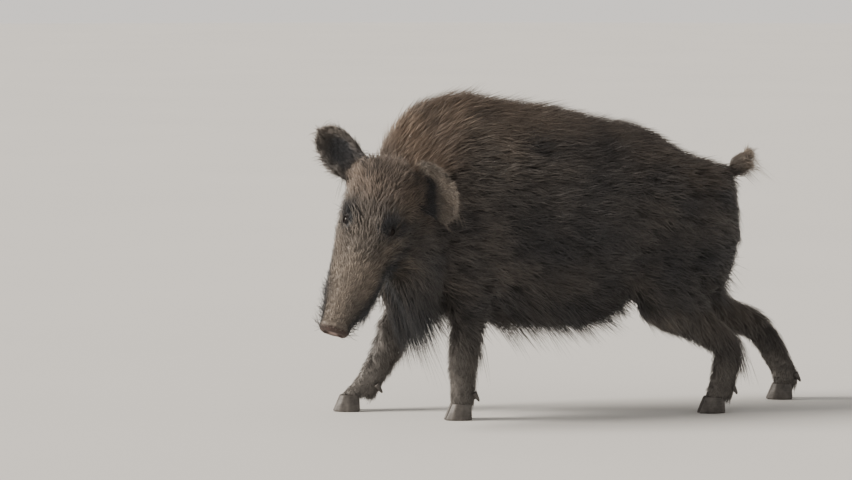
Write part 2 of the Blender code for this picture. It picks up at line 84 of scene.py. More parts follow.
def flat_end(node, toward):
    """Middle and normal of the node's faces that look that way."""
    near = [face for face in NODES[node].data.polygons if face.normal.dot(toward) > 0.75]
    area = sum(face.area for face in near)
    spot = sum((face.center * face.area for face in near), Vector()) / area
    return spot, sum((face.normal * face.area for face in near), Vector()).normalized()


DISC, DISC_OUT = flat_end("snout", HEAD_NOSE)
DISC_SIZE = (0.037, 0.028)  # half width and half height of the bare disc

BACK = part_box("trunk_barrel")[1][2]  # height of the back with its mane
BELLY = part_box("trunk_barrel")[0][2]
MIDDLE_HEIGHT = (BACK + BELLY) / 2
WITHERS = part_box("trunk_shoulders")[0][1]  # stations along the body
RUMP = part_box("trunk_hindquarters")[1][1]
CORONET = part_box("foreleg_left_claw_outer")[1][2]  # top of the claws
DEWCLAWS = [node for node in NODES if "dewclaw" in node]

LEGS = ("foreleg_left", "foreleg_right", "hindleg_left", "hindleg_right")
TRUNK = ["trunk_shoulders", "trunk_barrel", "trunk_hindquarters"]
FACE = ["head", "lower_jaw", "snout"]
EARS = ["ear_left", "ear_right"]
FLESH = [*FACE, "neck", "throat", *TRUNK, "tail", *EARS]
FLESH += [f"{leg}_{part}" for leg in LEGS[:2] for part in ("forearm", "cannon")]
FLESH += [f"{leg}_{part}" for leg in LEGS[2:] for part in ("thigh", "cannon")]

# The left ear's hollow, kept dark as painted shade while the rest of that ear is paler: its middle from the
# ear's, and how far it runs back and up from there.
HOLLOW_MIDDLE = (0.0, -0.024, 0.002)
HOLLOW_SIZE = (0.024, 0.040)

GRAIN = 0.0042  # of the skin's mesh
OVERLAP = 0.0014  # by which the flesh pieces grow to meet across their cuts
SEED = 7

# For each kind of flesh: depth of the coat, length of its hair, share of cover, the way the hair lies,
# how pale and how dusty it is.
HAIR = {
    "trunk_shoulders": (0.022, 0.058, 1.0, (0.0, 1.0, -0.22), 0.22, 0.00),
    "trunk_barrel": (0.020, 0.054, 1.0, (0.0, 1.0, -0.14), 0.14, 0.00),
    "trunk_hindquarters": (0.018, 0.050, 1.0, (0.0, 1.0, -0.42), 0.16, 0.00),
    "neck": (0.026, 0.056, 1.0, (0.1, 0.85, 0.10), 0.29, 0.00),
    "throat": (0.022, 0.056, 1.0, (0.1, 0.70, -0.75), 0.16, 0.00),
    "head": (0.0080, 0.024, 1.6, (0.0, 0.0, 0.0), 0.60, 0.05),
    "lower_jaw": (0.0100, 0.032, 1.6, (0.0, 0.0, 0.0), 0.12, 0.05),
    "snout": (0.0018, 0.012, 4.5, (0.0, 0.0, 0.0), 0.50, 0.15),
    "ear_": (0.0016, 0.015, 2.0, (0.0, 0.0, 0.0), 0.25, 0.05),
    # The tail's paleness: partly mud, partly painted sunlight.
    "tail": (0.0070, 0.028, 2.0, (0.15, 0.72, 0.6), 0.75, 0.00),
    "forearm": (0.0085, 0.026, 1.5, (0.0, 0.15, -1.0), 0.15, 0.60),
    "thigh": (0.0130, 0.040, 1.2, (0.0, 0.35, -0.95), 0.16, 0.25),
    "cannon": (0.0038, 0.0125, 3.4, (0.0, 0.12, -1.0), 0.20, 0.95),
}


def hair_of(node):
    """The row of HAIR whose key the node's name holds."""
    return next(row for key, row in HAIR.items() if key in node)


# Small helpers


def new_object(name, mesh):
    thing = bpy.data.objects.new(name, mesh)
    bpy.context.scene.collection.objects.link(thing)
    return thing


def evaluated_mesh(thing):
    """What the object's modifiers make, as a mesh of its own."""
    bpy.context.view_layer.update()
    graph = bpy.context.evaluated_depsgraph_get()
    return bpy.data.meshes.new_from_object(thing.evaluated_get(graph), depsgraph=graph)


def bake_modifiers(thing):
    mesh = evaluated_mesh(thing)
    thing.modifiers.clear()
    thing.data = mesh


def points_of(mesh):
    found = np.empty(len(mesh.vertices) * 3, np.float32)
    mesh.vertices.foreach_get("co", found)
    return found.reshape(-1, 3).astype(float)


def normals_of(mesh):
    found = np.empty(len(mesh.vertices) * 3, np.float32)
    mesh.vertex_normals.foreach_get("vector", found)
    return found.reshape(-1, 3).astype(float)


def set_points(mesh, places):
    mesh.vertices.foreach_set("co", places.astype(np.float32).ravel())
    mesh.update()


def edges_of(mesh):
    found = np.empty(len(mesh.edges) * 2, np.int32)
    mesh.edges.foreach_get("vertices", found)
    return found.reshape(-1, 2)


def spread(values, edges, passes, share=0.5, weight=None):
    """Smooths one value or vector for each point over the mesh's edges."""
    values = np.array(values, float)
    flat = values.reshape(len(values), -1)
    count = np.maximum(np.bincount(edges.ravel(), minlength=len(flat)), 1)
    share = share if weight is None else share * weight
    for _ in range(passes):
        for k in range(flat.shape[1]):
            column = flat[:, k]
            near = np.bincount(edges[:, 0], column[edges[:, 1]], len(flat))
            near += np.bincount(edges[:, 1], column[edges[:, 0]], len(flat))
            flat[:, k] = column + (near / count - column) * share
    return flat.reshape(values.shape)


def ramp(value, start, end):
    """0 before start, 1 after end, smooth between."""
    t = np.clip((value - start) / (end - start), 0, 1)
    return t * t * (3 - 2 * t)


def unit(vectors):
    return vectors / np.maximum(np.linalg.norm(vectors, axis=1, keepdims=True), 1e-9)


def put_attribute(mesh, name, values):
    """Stores one number or vector for each point."""
    kind, key = ("FLOAT", "value") if values.ndim == 1 else ("FLOAT_VECTOR", "vector")
    layer = mesh.attributes.get(name) or mesh.attributes.new(name, kind, "POINT")
    layer.data.foreach_set(key, values.astype(np.float32).ravel())


def get_attribute(mesh, name, width=1):
    found = np.empty(len(mesh.vertices) * width, np.float32)
    mesh.attributes[name].data.foreach_get("value" if width == 1 else "vector", found)
    return found.astype(float) if width == 1 else found.reshape(-1, width).astype(float)


def finish_piece(thing, nodes=()):
    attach(thing, "root")
    if nodes:
        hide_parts(*nodes)


# Materials


class NodeTree:
    """Fills a node tree with few words."""

    def add(self, kind, settings):
        made = self.tree.nodes.new(kind)
        for key, value in dict(settings).items():
            setattr(made, key, value)
        return made

    def set(self, socket, value):
        """Gives an input a value, or links another node's output to it."""
        if isinstance(value, bpy.types.NodeSocket):
            self.tree.links.new(value, socket)
        else:
            socket.default_value = value


class Shader(NodeTree):
    """A material's node tree."""

    def __init__(self, name):
        self.material = bpy.data.materials.new(name)
        self.material.use_nodes = True
        self.tree = self.material.node_tree
        self.principled = self.tree.nodes["Principled BSDF"]

    def node(self, kind, settings=(), **inputs):
        """A new node; an input's value is a number, a colour or another node's socket."""
        made = self.add(kind, settings)
        for key, value in inputs.items():
            self.set(made.inputs[key.replace("_", " ")], value)
        return made

    def surface(self, **inputs):
        for key, value in inputs.items():
            self.set(self.principled.inputs[key.replace("_", " ")], value)

    def attribute(self, name):
        return self.node("ShaderNodeAttribute", {"attribute_name": name})

    def mix(self, share, first, second, blend="MIX"):
        made = self.node("ShaderNodeMix", {"data_type": "RGBA", "blend_type": blend})
        self.set(made.inputs[0], share)
        self.set(made.inputs[6], first)
        self.set(made.inputs[7], second)
        return made.outputs[2]

    def math(self, operation, first, second=0.0, clamp=False):
        made = self.node("ShaderNodeMath", {"operation": operation, "use_clamp": clamp})
        self.set(made.inputs[0], first)
        self.set(made.inputs[1], second)
        return made.outputs[0]

    def noise(self, scale, detail=3.0, roughness=0.5):
        place = self.node("ShaderNodeTexCoord").outputs["Object"]
        settings = {"Scale": scale, "Detail": detail, "Roughness": roughness}
        return self.node("ShaderNodeTexNoise", Vector=place, **settings)

    def bump(self, height, strength, distance):
        made = self.node("ShaderNodeBump", Height=height, Strength=strength, Distance=distance)
        return made.outputs["Normal"]


def rgba(colour, scale=1.0):
    return (*(c * scale for c in colour), 1.0)


def coat_colour(shader, colours, along, chance):
    """The colour of the hair at this share of its length, from the markings that the skin carries."""
    pale = shader.attribute("pale").outputs["Fac"]
    dusty = shader.attribute("dusty").outputs["Fac"]
    warm = shader.attribute("warm").outputs["Fac"]
    tip = shader.mix(pale, rgba(colours.flank_tip), rgba(colours.pale_tip))
    tip = shader.mix(warm, tip, rgba(colours.mane_tip))
    root = shader.mix(pale, rgba(colours.root), rgba(colours.pale_tip, 0.30))
    hair = shader.mix(along, root, tip)
    hair = shader.mix(dusty, hair, rgba(colours.dust))
    lighter = shader.math("MULTIPLY_ADD", chance, 0.9)
    lighter.node.inputs[2].default_value = 0.55
    grey = shader.node("ShaderNodeCombineColor", Red=lighter, Green=lighter, Blue=lighter).outputs[0]
    return shader.mix(1.0, hair, grey, "MULTIPLY")


def coat_material(colours):
    shader = Shader("boar_coat")
    along = shader.attribute("along").outputs["Fac"]
    chance = shader.attribute("chance").outputs["Fac"]
    reach = shader.math("POWER", along, 1.3)
    shader.surface(Base_Color=coat_colour(shader, colours, reach, chance), Roughness=0.62)
    shader.surface(Specular_IOR_Level=0.28, Sheen_Weight=0.12, Sheen_Roughness=0.5)
    return shader.material


def skin_material(colours):
    shader = Shader("boar_skin")
    fine = shader.noise(90, 4, 0.6).outputs["Fac"]
    # The skin takes the hair's dark root colour: partly its own dark skin, partly painted shade under the
    # coat.
    coat = coat_colour(shader, colours, 0.08, fine)
    bare = shader.attribute("bare").outputs["Fac"]
    blotch = shader.math("MULTIPLY", shader.noise(90, 4).outputs["Fac"], 0.22)
    pink = shader.math("ADD", blotch, shader.attribute("warm").outputs["Fac"], clamp=True)
    nose = shader.mix(pink, rgba(colours.nose, 0.10), rgba(colours.nose, 1.20))
    # Darker at the lids, which is their own dark skin, and as painted shade in the nostril pits and the
    # crease of the mouth.
    lids_and_painted_shade = shader.attribute("hollow").outputs["Fac"]
    nose = shader.mix(lids_and_painted_shade, nose, rgba(colours.root, 0.6))
    shader.surface(Base_Color=shader.mix(bare, coat, nose))
    shader.surface(Roughness=0.6, Specular_IOR_Level=0.3)
    grain = shader.noise(420, 3, 0.7).outputs["Fac"]
    shader.surface(Normal=shader.bump(grain, 0.35, 0.0015))
    return shader.material


def eye_material(colours):
    shader = Shader("boar_eye")
    streaks = shader.noise(500, 3).outputs["Fac"]
    shader.surface(Base_Color=shader.mix(streaks, rgba(colours.eye, 0.5), rgba(colours.eye, 1.4)))
    shader.surface(Roughness=0.06, Specular_IOR_Level=0.14)
    return shader.material


def horn_material(colours):
    shader = Shader("boar_horn")
    place = shader.node("ShaderNodeTexCoord").outputs["Object"]
    upward = {"bands_direction": "Z"}
    rings = shader.node("ShaderNodeTexWave", upward, Vector=place, Scale=55.0, Distortion=3.0)
    dust = shader.noise(45, 4, 0.65).outputs["Fac"]
    horn = shader.mix(rings.outputs["Fac"], rgba(colours.horn, 0.85), rgba(colours.horn, 1.15))
    dust = shader.math("MULTIPLY_ADD", dust, 1.8)
    dust.node.inputs[2].default_value = -0.55
    dust.node.use_clamp = True
    shader.surface(Base_Color=shader.mix(dust, horn, rgba(colours.dust)), Roughness=0.55)
    streaks = shader.node("ShaderNodeMapping", Vector=place, Scale=(1.0, 1.0, 0.12)).outputs[0]
    worn = shader.node("ShaderNodeTexNoise", Vector=streaks, Scale=420.0, Detail=3.0).outputs["Fac"]
    height = shader.math("ADD", shader.math("MULTIPLY", rings.outputs["Fac"], 0.3), worn)
    shader.surface(Normal=shader.bump(height, 0.25, 0.0006))
    return shader.material


def material(name, make):
    """The material of that name, made on first use."""
    return bpy.data.materials.get(name) or make(bpy.context.scene.boar_colours)


# The skin


def grown(node):
    """The node's solid in a bmesh, welded and grown a little."""
    bm = bmesh.new()
    bm.from_mesh(NODES[node].data)
    bm.transform(NODES[node].matrix_world)
    bmesh.ops.remove_doubles(bm, verts=bm.verts, dist=1e-5)
    bm.normal_update()
    for vertex in bm.verts:
        vertex.co += vertex.normal * OVERLAP
    return bm


def joined_flesh():
    """All flesh in one mesh, with its eye sockets filled, and each face's node."""
    whole = bmesh.new()
    owner = []
    for node in FLESH:
        bm = grown(node)
        mesh = bpy.data.meshes.new(node)
        bm.to_mesh(mesh)
        bm.free()
        whole.from_mesh(mesh)
        bpy.data.meshes.remove(mesh)
        owner += [FLESH.index(node)] * (len(whole.faces) - len(owner))
    for centre in EYE_CENTRES.values():
        place = Matrix.Translation(centre - HEAD_OUT * EYE_RADIUS * 0.35)
        bmesh.ops.create_icosphere(whole, subdivisions=3, radius=EYE_RADIUS * 1.15, matrix=place)
    owner += [FLESH.index("head")] * (len(whole.faces) - len(owner))
    mesh = bpy.data.meshes.new("flesh")
    whole.to_mesh(mesh)
    tree = BVHTree.FromBMesh(whole)
    whole.free()
    return mesh, tree, owner


def nodes_near(mesh, tree, owner):
    """The index in FLESH of the node nearest to each point."""
    found = [owner[tree.find_nearest(v.co)[2]] for v in mesh.vertices]
    return np.array(found)


def refine(mesh, centre, reach):
    """Halves the edges within reach of the centre."""
    bm = bmesh.new()
    bm.from_mesh(mesh)
    near = [e for e in bm.edges if (e.verts[0].co - centre).length < reach]
    bmesh.ops.subdivide_edges(bm, edges=near, cuts=1)
    bmesh.ops.triangulate(bm, faces=[f for f in bm.faces if len(f.verts) > 3])
    bm.to_mesh(mesh)
    bm.free()


def head_places(places):
    """In the head's own frame: to its left of the middle, from the eyes to the snout, out of the face."""
    turn = np.array([LEFT, NOSE, OUT]).T
    return (places - np.array(BETWEEN_EYES)) @ turn


def disc_places(places):
    """In the bare disc's frame: to its left, up it and out of it."""
    left = (HEAD_LEFT - DISC_OUT * HEAD_LEFT.dot(DISC_OUT)).normalized()
    turn = np.array([left, DISC_OUT.cross(left), DISC_OUT]).T
    return (places - np.array(DISC)) @ turn, turn


def even_sockets(places, edges, passes):
    """Smooths the skin over the eye sockets, where the lids are shaped."""
    away = np.min([np.linalg.norm(places - np.array(c), axis=1) for c in EYE_CENTRES.values()], axis=0)
    return spread(places, edges, passes, 0.5, 1 - ramp(away, 0.019, 0.032))


def shape_eye(places, centre, out, openness):
    """Raises lids over the eyeball and opens them; returns the places and the bare lids."""
    back = -HEAD_NOSE + HEAD_OUT * 0.25
    along = (back - out * back.dot(out)).normalized()
    across = out.cross(along)
    local = (places - np.array(centre)) @ np.array([along, across, out]).T
    u, v, w = local.T
    far = np.hypot(u, v)
    on_face = (np.abs(w) < 0.03) * (far < 2 * EYE_RADIUS)
    narrowing = 1 + 0.25 * (u / EYE_RADIUS) ** 2
    corner = np.hypot(u / (EYE_RADIUS * 0.70), v / (EYE_RADIUS * openness) * narrowing)
    ball = np.sqrt(np.maximum(EYE_RADIUS**2 - far**2, 0))
    dome = ball + 0.0013 + 0.0012 * np.exp(-(((corner - 1.12) / 0.16) ** 2))
    lid = (1 - ramp(far, EYE_RADIUS * 0.82, EYE_RADIUS * 1.02)) * on_face
    raised = w + (np.maximum(w, dome) - w) * lid
    crease = np.exp(-(((corner - 1.95) / 0.16) ** 2)) * on_face
    raised -= 0.0011 * crease
    inside = (1 - ramp(corner, 0.86, 1.0)) * on_face
    raised += (ball - 0.0045 - raised) * inside
    bare = (1 - ramp(corner, 1.25, 1.75)) * on_face
    return places + np.outer(raised - w, np.array(out)), bare


def shape_snout(places):
    """Shapes the disc's rim, the nostrils and the folds; returns the places, pits, dark and hairless skin."""
    local, turn = disc_places(places)
    side, height, out = local.T
    round_disc = np.hypot(side / DISC_SIZE[0], height / DISC_SIZE[1])
    near = np.linalg.norm(local, axis=1) < 0.13
    face = ramp(out, -0.011, -0.004) * near
    pits = np.zeros(len(places))
    shift = np.zeros((len(places), 3))
    for sign in (-1, 1):
        ring = np.hypot((side - sign * 0.0180) / 0.0062, (height + 0.001) / 0.0085)
        pit = (1 - ramp(ring, 0.60, 1.10)) * face
        shift[:, 2] -= 0.011 * pit
        shift[:, 2] += 0.0018 * np.exp(-(((ring - 1.35) / 0.25) ** 2)) * face
        pits = np.maximum(pits, pit)
    shift[:, 2] += 0.0022 * np.exp(-(((round_disc - 0.86) / 0.13) ** 2)) * face
    shift[:, 2] -= 0.0015 * (1 - ramp(round_disc, 0.2, 0.7)) * face * (1 - pits)
    neck = np.exp(-(((out + 0.004) / 0.007) ** 2)) * near
    waist = 0.0022 * neck / np.maximum(np.hypot(side, height), 0.01)
    shift[:, 0] -= side * waist
    shift[:, 1] -= height * waist
    folds = ramp(-out, 0.026, 0.036) * (1 - ramp(-out, 0.070, 0.100)) * ramp(height, 0.004, 0.018) * near
    shift[:, 1] += folds * np.sin(-out / 0.0115 * 2 * math.pi) * 0.0013
    dark = ramp(out, -0.013, -0.007) * near
    bare = ramp(out, -0.005, -0.001) * near
    return places + shift @ turn.T, pits, dark, bare


def shape_mouth(places, normals):
    """Presses in a line from beside the snout to the corner of the mouth."""
    _, along, height = head_places(places).T
    front, corner = HEAD_LENGTH - 0.012, HEAD_LENGTH * 0.33
    line = -0.052 - (along - front) / (corner - front) * 0.018
    near = np.exp(-(((height - line) / 0.0035) ** 2))
    near *= ramp(along, corner - 0.01, corner + 0.02) * (1 - ramp(along, front, front + 0.01))
    lips = np.exp(-(((height - line - 0.010) / 0.008) ** 2)) * ramp(along, corner, corner + 0.05)
    lips *= 1 - ramp(along, front - 0.01, front + 0.01)
    return places - normals * (near * 0.0045)[:, None] + normals * (lips * 0.002)[:, None], near


MARKS = ("length", "cover", "pale", "warm", "dusty", "droop", "loose", "bare", "mane", "fringe", "whiskers")


class Markings:
    """What the coat is like at each point of the skin."""

    def __init__(self, mesh, tree, owner):
        self.places = points_of(mesh)
        self.normals = normals_of(mesh)
        self.edges = edges_of(mesh)
        self.nodes = nodes_near(mesh, tree, owner)
        rows = [hair_of(node) for node in FLESH]
        table = np.array([[*row[:3], *row[3], *row[4:]] for row in rows])[self.nodes]
        names = np.array(FLESH)[self.nodes]
        self.limb = np.char.find(names, "leg") >= 0
        self.ear = np.char.startswith(names, "ear")
        self.head = np.isin(names, FACE).astype(float)
        self.tail = names == "tail"
        self.names = names
        self.comb = table[:, 3:6]
        self.comb_head()
        self.comb_ears()
        self.comb = unit(spread(self.comb, self.edges, 16, weight=1 - 0.7 * self.ear))
        wide = spread(table[:, [0, 1, 2, 6, 7]], self.edges, 28, weight=1 - 0.85 * self.ear)
        self.depth, self.length, self.cover, self.pale, self.dusty = wide.T
        self.sink = np.zeros(len(names))
        self.fringe = np.zeros(len(names))
        self.rise = np.ones(len(names))
        self.head_share = spread(self.head, self.edges, 20)
        self.warm = np.zeros(len(names))
        self.droop = np.zeros(len(names))
        self.loose = np.zeros(len(names))
        self.mark_mane()
        self.mark_belly()
        self.mark_face()
        self.mark_legs()
        self.mark_tail()
        self.mark_ears()
        self.fringe = np.clip(self.fringe, 0, 1)
        self.lay_down()

    def comb_head(self):
        """Back from the snout over the forehead, outwards and down over the cheeks."""
        local = head_places(self.places)
        side = (self.normals @ LEFT)[:, None]
        facing = (self.normals @ OUT)[:, None]
        on_top = ramp(facing, 0.15, 0.75)
        top = -NOSE + np.sign(side) * 0.30 * LEFT
        back = ramp(-local[:, 1:2], -0.12, 0.05)
        cheek = np.sign(side) * 0.75 * LEFT - 0.75 * OUT
        cheek = cheek - NOSE * (0.75 - 0.80 * back)
        found = top * on_top + cheek * (1 - on_top)
        mask = self.head[:, None] > 0
        self.comb = np.where(mask, found, self.comb)

    def comb_ears(self):
        """From the base of each ear to its tip."""
        for side, sign in (("left", 1), ("right", -1)):
            mask = self.names == f"ear_{side}"
            root = BETWEEN_EYES + HEAD_LEFT * sign * 0.04 - HEAD_NOSE * 0.10
            away = Vector(middle(f"ear_{side}")) - root
            self.comb[mask] = np.array(away.normalized())

    def mark_mane(self):
        """Long pale-tipped hair over the nape, withers and back."""
        x, y, z = self.places.T
        up = ramp(self.normals[:, 2], 0.35, 0.85)
        trunk = np.isin(self.names, ["neck", *TRUNK]).astype(float)
        trunk = spread(trunk, self.edges, 8)
        front = 1 - ramp(y, WITHERS + 0.10, WITHERS + 0.50)
        ridge = up * trunk
        self.mane = ridge * (1 - 0.65 * ramp(y, WITHERS + 0.30, RUMP - 0.10))
        self.sink = 0.014 * self.mane
        self.length += 0.022 * self.mane
        # Paler towards the top of the body and warmer where the skin faces up: partly grizzled and rusty
        # tips, partly painted sunlight on the top.
        top = ramp(z, MIDDLE_HEIGHT + 0.04, BACK - 0.05) * trunk
        self.pale += 0.34 * top * (0.4 + 0.6 * front)
        self.warm += 0.65 * ramp(self.normals[:, 2], 0.40, 0.9) * trunk * (0.25 + 0.75 * front)
        neck = spread((self.names == "neck").astype(float), self.edges, 12)
        self.warm = np.maximum(self.warm, 0.8 * neck * ramp(z, MIDDLE_HEIGHT, BACK - 0.12))
        climb = neck * ramp(z, MIDDLE_HEIGHT - 0.02, MIDDLE_HEIGHT + 0.15)
        self.rise += 0.14 * climb - 0.08 * self.mane
        self.comb[:, 2] += 0.75 * climb
        self.comb[:, 2] -= 0.65 * neck * (1 - ramp(z, MIDDLE_HEIGHT - 0.12, MIDDLE_HEIGHT + 0.02))

    def mark_belly(self):
        """Longer hair that hangs from the belly, chest and throat."""
        down = ramp(-self.normals[:, 2], 0.30, 0.85) * (1 - self.limb)
        down = down * (1 - self.head_share) * (1 - self.ear)
        self.length += 0.012 * down
        self.fringe += 0.7 * down
        self.loose += 0.25 * down
        self.droop += 0.12 * down
        self.rise -= 0.45 * down
        self.comb[:, 2] -= 0.25 * down
        # Painted shade: a little darker where the skin faces down.
        self.pale -= 0.06 * down

    def mark_face(self):
        """Grizzled on the forehead and bridge, dark on the cheeks, short towards the snout."""
        along = head_places(self.places)[:, 1]
        facing = self.normals @ OUT
        share = self.head_share
        low = ramp(along, -0.02, HEAD_LENGTH * 0.6)
        cheek = (1 - ramp(facing, 0.05 + 0.32 * low, 0.60 + 0.26 * low)) * share
        behind = 1 - ramp(along, -0.03, 0.10)
        self.depth += share * 0.0085 * behind
        self.length += share * (0.020 * behind - 0.008 * ramp(along, 0.02, HEAD_LENGTH * 0.8))
        self.depth -= share * 0.0035 * ramp(along, 0.05, HEAD_LENGTH * 0.8)
        self.cover *= 1 + 1.3 * share * ramp(along, 0.02, HEAD_LENGTH * 0.7)
        # Darker cheeks: partly the boar's dark cheek hair, partly painted shade on the sides of the face.
        self.pale -= 0.52 * cheek
        # Paler towards the muzzle's top: partly grizzled hair, partly painted sunlight.
        bridge = 0.40 * ramp(along, 0.00, HEAD_LENGTH * 0.6) - 0.20 * behind
        self.pale += share * bridge * ramp(facing, 0.2, 0.7)
        crown = share * ramp(-along, 0.00, 0.09) * ramp(facing, 0.0, 0.6)
        self.warm = np.maximum(self.warm, 0.62 * crown)
        self.length -= 0.014 * crown
        self.cover *= 1 + 0.3 * crown
        # A painted highlight: pale tips along the brow ridge, where the lit forehead meets the shaded cheek;
        # the ridge's hair is also looser and longer.
        ridge = share * np.exp(-(((facing - 0.52) / 0.14) ** 2)) * ramp(-along, -0.14, -0.02)
        self.loose += 0.35 * ridge
        self.pale += 0.25 * ridge
        self.length += 0.006 * ridge
        chin = (self.names == "lower_jaw") | (self.names == "throat")
        chin = spread(chin.astype(float), self.edges, 6)
        chin = chin * (1 - ramp(along, HEAD_LENGTH * 0.55, HEAD_LENGTH * 0.95))
        station = self.places[:, 1]
        beard = chin * ramp(-self.normals[:, 2], -0.3, 0.5)
        beard = beard * (1 - ramp(station, WITHERS + 0.02, WITHERS + 0.06))
        front = 1 - ramp(station, WITHERS - 0.015, WITHERS + 0.045)
        level, full = np.zeros(len(front)), np.ones(len(front))
        hang = np.stack([level, 0.45 - 0.75 * front, -full], axis=1)
        self.comb += beard[:, None] * (hang - self.comb)
        self.length += (0.002 + 0.022 * front) * beard
        self.loose += 0.9 * beard
        self.droop += (0.30 + 0.30 * front) * beard
        # Darker beard under the jaw: partly its own dark hair, partly painted shade.
        self.pale -= 0.25 * beard
        self.fringe -= 0.45 * chin
        under = (self.names == "throat").astype(float)
        under = spread(under, self.edges, 6) * ramp(-self.normals[:, 2], 0.0, 0.6)
        self.length += 0.020 * under
        self.droop += 0.45 * under
        self.loose += 0.5 * under
        forward = share * ramp(along, HEAD_LENGTH * 0.35, HEAD_LENGTH * 0.75)
        self.whiskers = forward * (1 - ramp(facing, 0.3, 0.8))
        jowl = cheek * behind
        self.length += 0.014 * jowl
        self.fringe += 0.5 * jowl
        for centre in EYE_CENTRES.values():
            away = self.places - np.array(centre)
            gap = np.linalg.norm(away, axis=1)
            around = 1 - ramp(gap, 0.018, 0.044)
            self.pale -= 0.45 * around
            self.length -= 0.015 * around
            self.depth -= 0.0042 * around
            self.cover *= 1 + 0.8 * around
            above = ramp(away @ -NOSE, 0.006, 0.016) * (1 - ramp(gap, 0.020, 0.027))
            self.whiskers = np.maximum(self.whiskers, above)
            beside = unit(away - self.normals * np.sum(away * self.normals, axis=1, keepdims=True))
            back = -0.5 * NOSE
            self.comb += (1 - ramp(gap, 0.020, 0.038))[:, None] * ((beside + back) * 1.4 - self.comb)

    def mark_legs(self):
        """Fringes down the backs of the legs, and hair that overhangs the claws."""
        rear = ramp(self.normals[:, 1], 0.30, 0.80) * self.limb
        height = self.places[:, 2]
        upper = ramp(height, 0.07, 0.24)
        self.length += rear * (0.003 + 0.017 * upper)
        shaggy = self.limb * np.exp(-(((height - 0.26) / 0.06) ** 2)) * (self.places[:, 1] > 0.1)
        self.pale += 0.22 * shaggy
        self.length += 0.012 * shaggy
        self.rise += 0.12 * self.limb
        self.depth += rear * 0.002
        self.loose += rear * 0.45
        self.droop += rear * 0.3
        self.fringe += rear * (0.2 + 0.4 * upper)
        shared = spread(self.limb.astype(float), self.edges, 12)
        self.cover *= 1 + 4.0 * shared * (1 - shared)
        gap = np.min([np.linalg.norm(self.places - np.array(middle(n)), axis=1) for n in DEWCLAWS], axis=0)
        self.depth -= (self.depth + 0.0015) * (1 - ramp(gap, 0.018, 0.032)) * self.limb
        self.hem = (1 - ramp(height, CORONET + 0.003, CORONET + 0.020)) * self.limb
        self.loose += self.hem
        self.length += 0.007 * self.hem
        self.depth *= 1 - 0.6 * self.hem

    def mark_tail(self):
        """A tuft that runs on past the tail's end."""
        low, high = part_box("tail")
        axis = np.array((0.15, 0.60, 0.78))
        place = (self.places - np.array(low)) @ axis / ((np.array(high) - np.array(low)) @ axis)
        reach = ramp(place, 0.35, 0.95) * self.tail
        self.pale += 0.60 * reach
        self.length += 0.004 * reach
        self.loose += 0.9 * ramp(place, 0.55, 0.85) * self.tail
        self.fringe += 0.9 * self.tail

    def mark_ears(self):
        """Dark in the hollow, with a fringe along the rim."""
        for side, pale in (("left", 0.54), ("right", 0.10)):
            mask = self.names == f"ear_{side}"
            local = self.places[mask]
            away = local - (local.min(axis=0) + local.max(axis=0)) / 2
            axes = np.linalg.svd(away - away.mean(axis=0), full_matrices=False)[2]
            face = axes[2] * np.sign(axes[2] @ OUT)
            facing = self.normals @ face
            rim = spread((1 - ramp(np.abs(facing), 0.25, 0.75)) * mask, self.edges, 2)[mask]
            rim = np.clip(rim * 1.5, 0, 1)
            plane = away @ axes[:2].T
            wide = np.hypot(*(plane / np.abs(plane).max(axis=0)).T)
            tipward = unit(away) @ unit(self.comb[mask].mean(axis=0)[None])[0]
            band = ramp(wide, 0.42, 0.72) * ramp(tipward, -0.80, -0.40)
            if side == "left":
                past = np.maximum(away - np.array(HOLLOW_MIDDLE), 0)
                band = ramp(np.hypot(past[:, 1] / HOLLOW_SIZE[0], past[:, 2] / HOLLOW_SIZE[1]), 0.75, 1.05)
            inner = ramp(facing[mask], 0.15, 0.55)
            beside = unit(away - np.outer(away @ face, face))
            turned = np.maximum(rim, 0.45 * band)[:, None]
            self.comb[mask] = self.comb[mask] * (1 - 0.6 * turned) + beside * turned
            pale = pale * band if side == "left" else pale * np.maximum(rim, band)
            self.dusty[mask] += 0.5 * pale
            # Painted light: the left ear is pale outside its hollow, the right only at its rim; the inner
            # face is darker as painted shade.
            self.pale[mask] += pale - 0.22 * inner * (1 - band)
            self.length[mask] += 0.010 * np.maximum(rim, band * inner) - 0.003 * inner * (1 - band)
            self.rise[mask] += 0.9 * band * inner
            self.length[mask] += 0.008 * rim * (side == "right")
            self.loose[mask] += 0.75 * rim
            self.fringe[mask] += rim + 0.25 * inner
            self.cover[mask] *= 1 + 0.4 * rim + 0.6 * band * inner + 0.3 * inner * (1 - band)

    def lay_down(self):
        """Turns the combing into the surface and ruffles it."""
        noise.seed_set(SEED)
        ruffle = np.array([noise.noise_vector(Vector(p) * 9.0) for p in self.places])
        finer = np.array([noise.noise_vector(Vector(p) * 34.0) for p in self.places])
        self.comb = unit(self.comb) + 0.30 * ruffle + 0.22 * finer
        inward = np.sum(self.comb * self.normals, axis=1, keepdims=True)
        self.comb = unit(self.comb - self.normals * inward)
        patch = np.array([noise.noise(Vector(p) * 14.0) for p in self.places])
        self.pale = np.clip(self.pale * (1 + 0.7 * patch) + 0.05 * patch, 0, 1)
        self.warm = np.clip(self.warm * (1 + 0.5 * patch), 0, 1)
        self.dusty = np.clip(self.dusty * (1 + 0.5 * patch), 0, 1)
        self.length = np.maximum(self.length, 0.004) * (1 + 0.15 * patch)

    def store(self, mesh):
        outward = spread(normals_of(mesh), edges_of(mesh), 3)
        put_attribute(mesh, "outward", unit(outward))
        put_attribute(mesh, "comb", self.comb)
        stand = np.clip(1.5 * (self.depth + self.sink) / self.length, 0.25, 1.0)
        put_attribute(mesh, "lift", stand * self.rise)
        for name in MARKS:
            put_attribute(mesh, name, getattr(self, name))


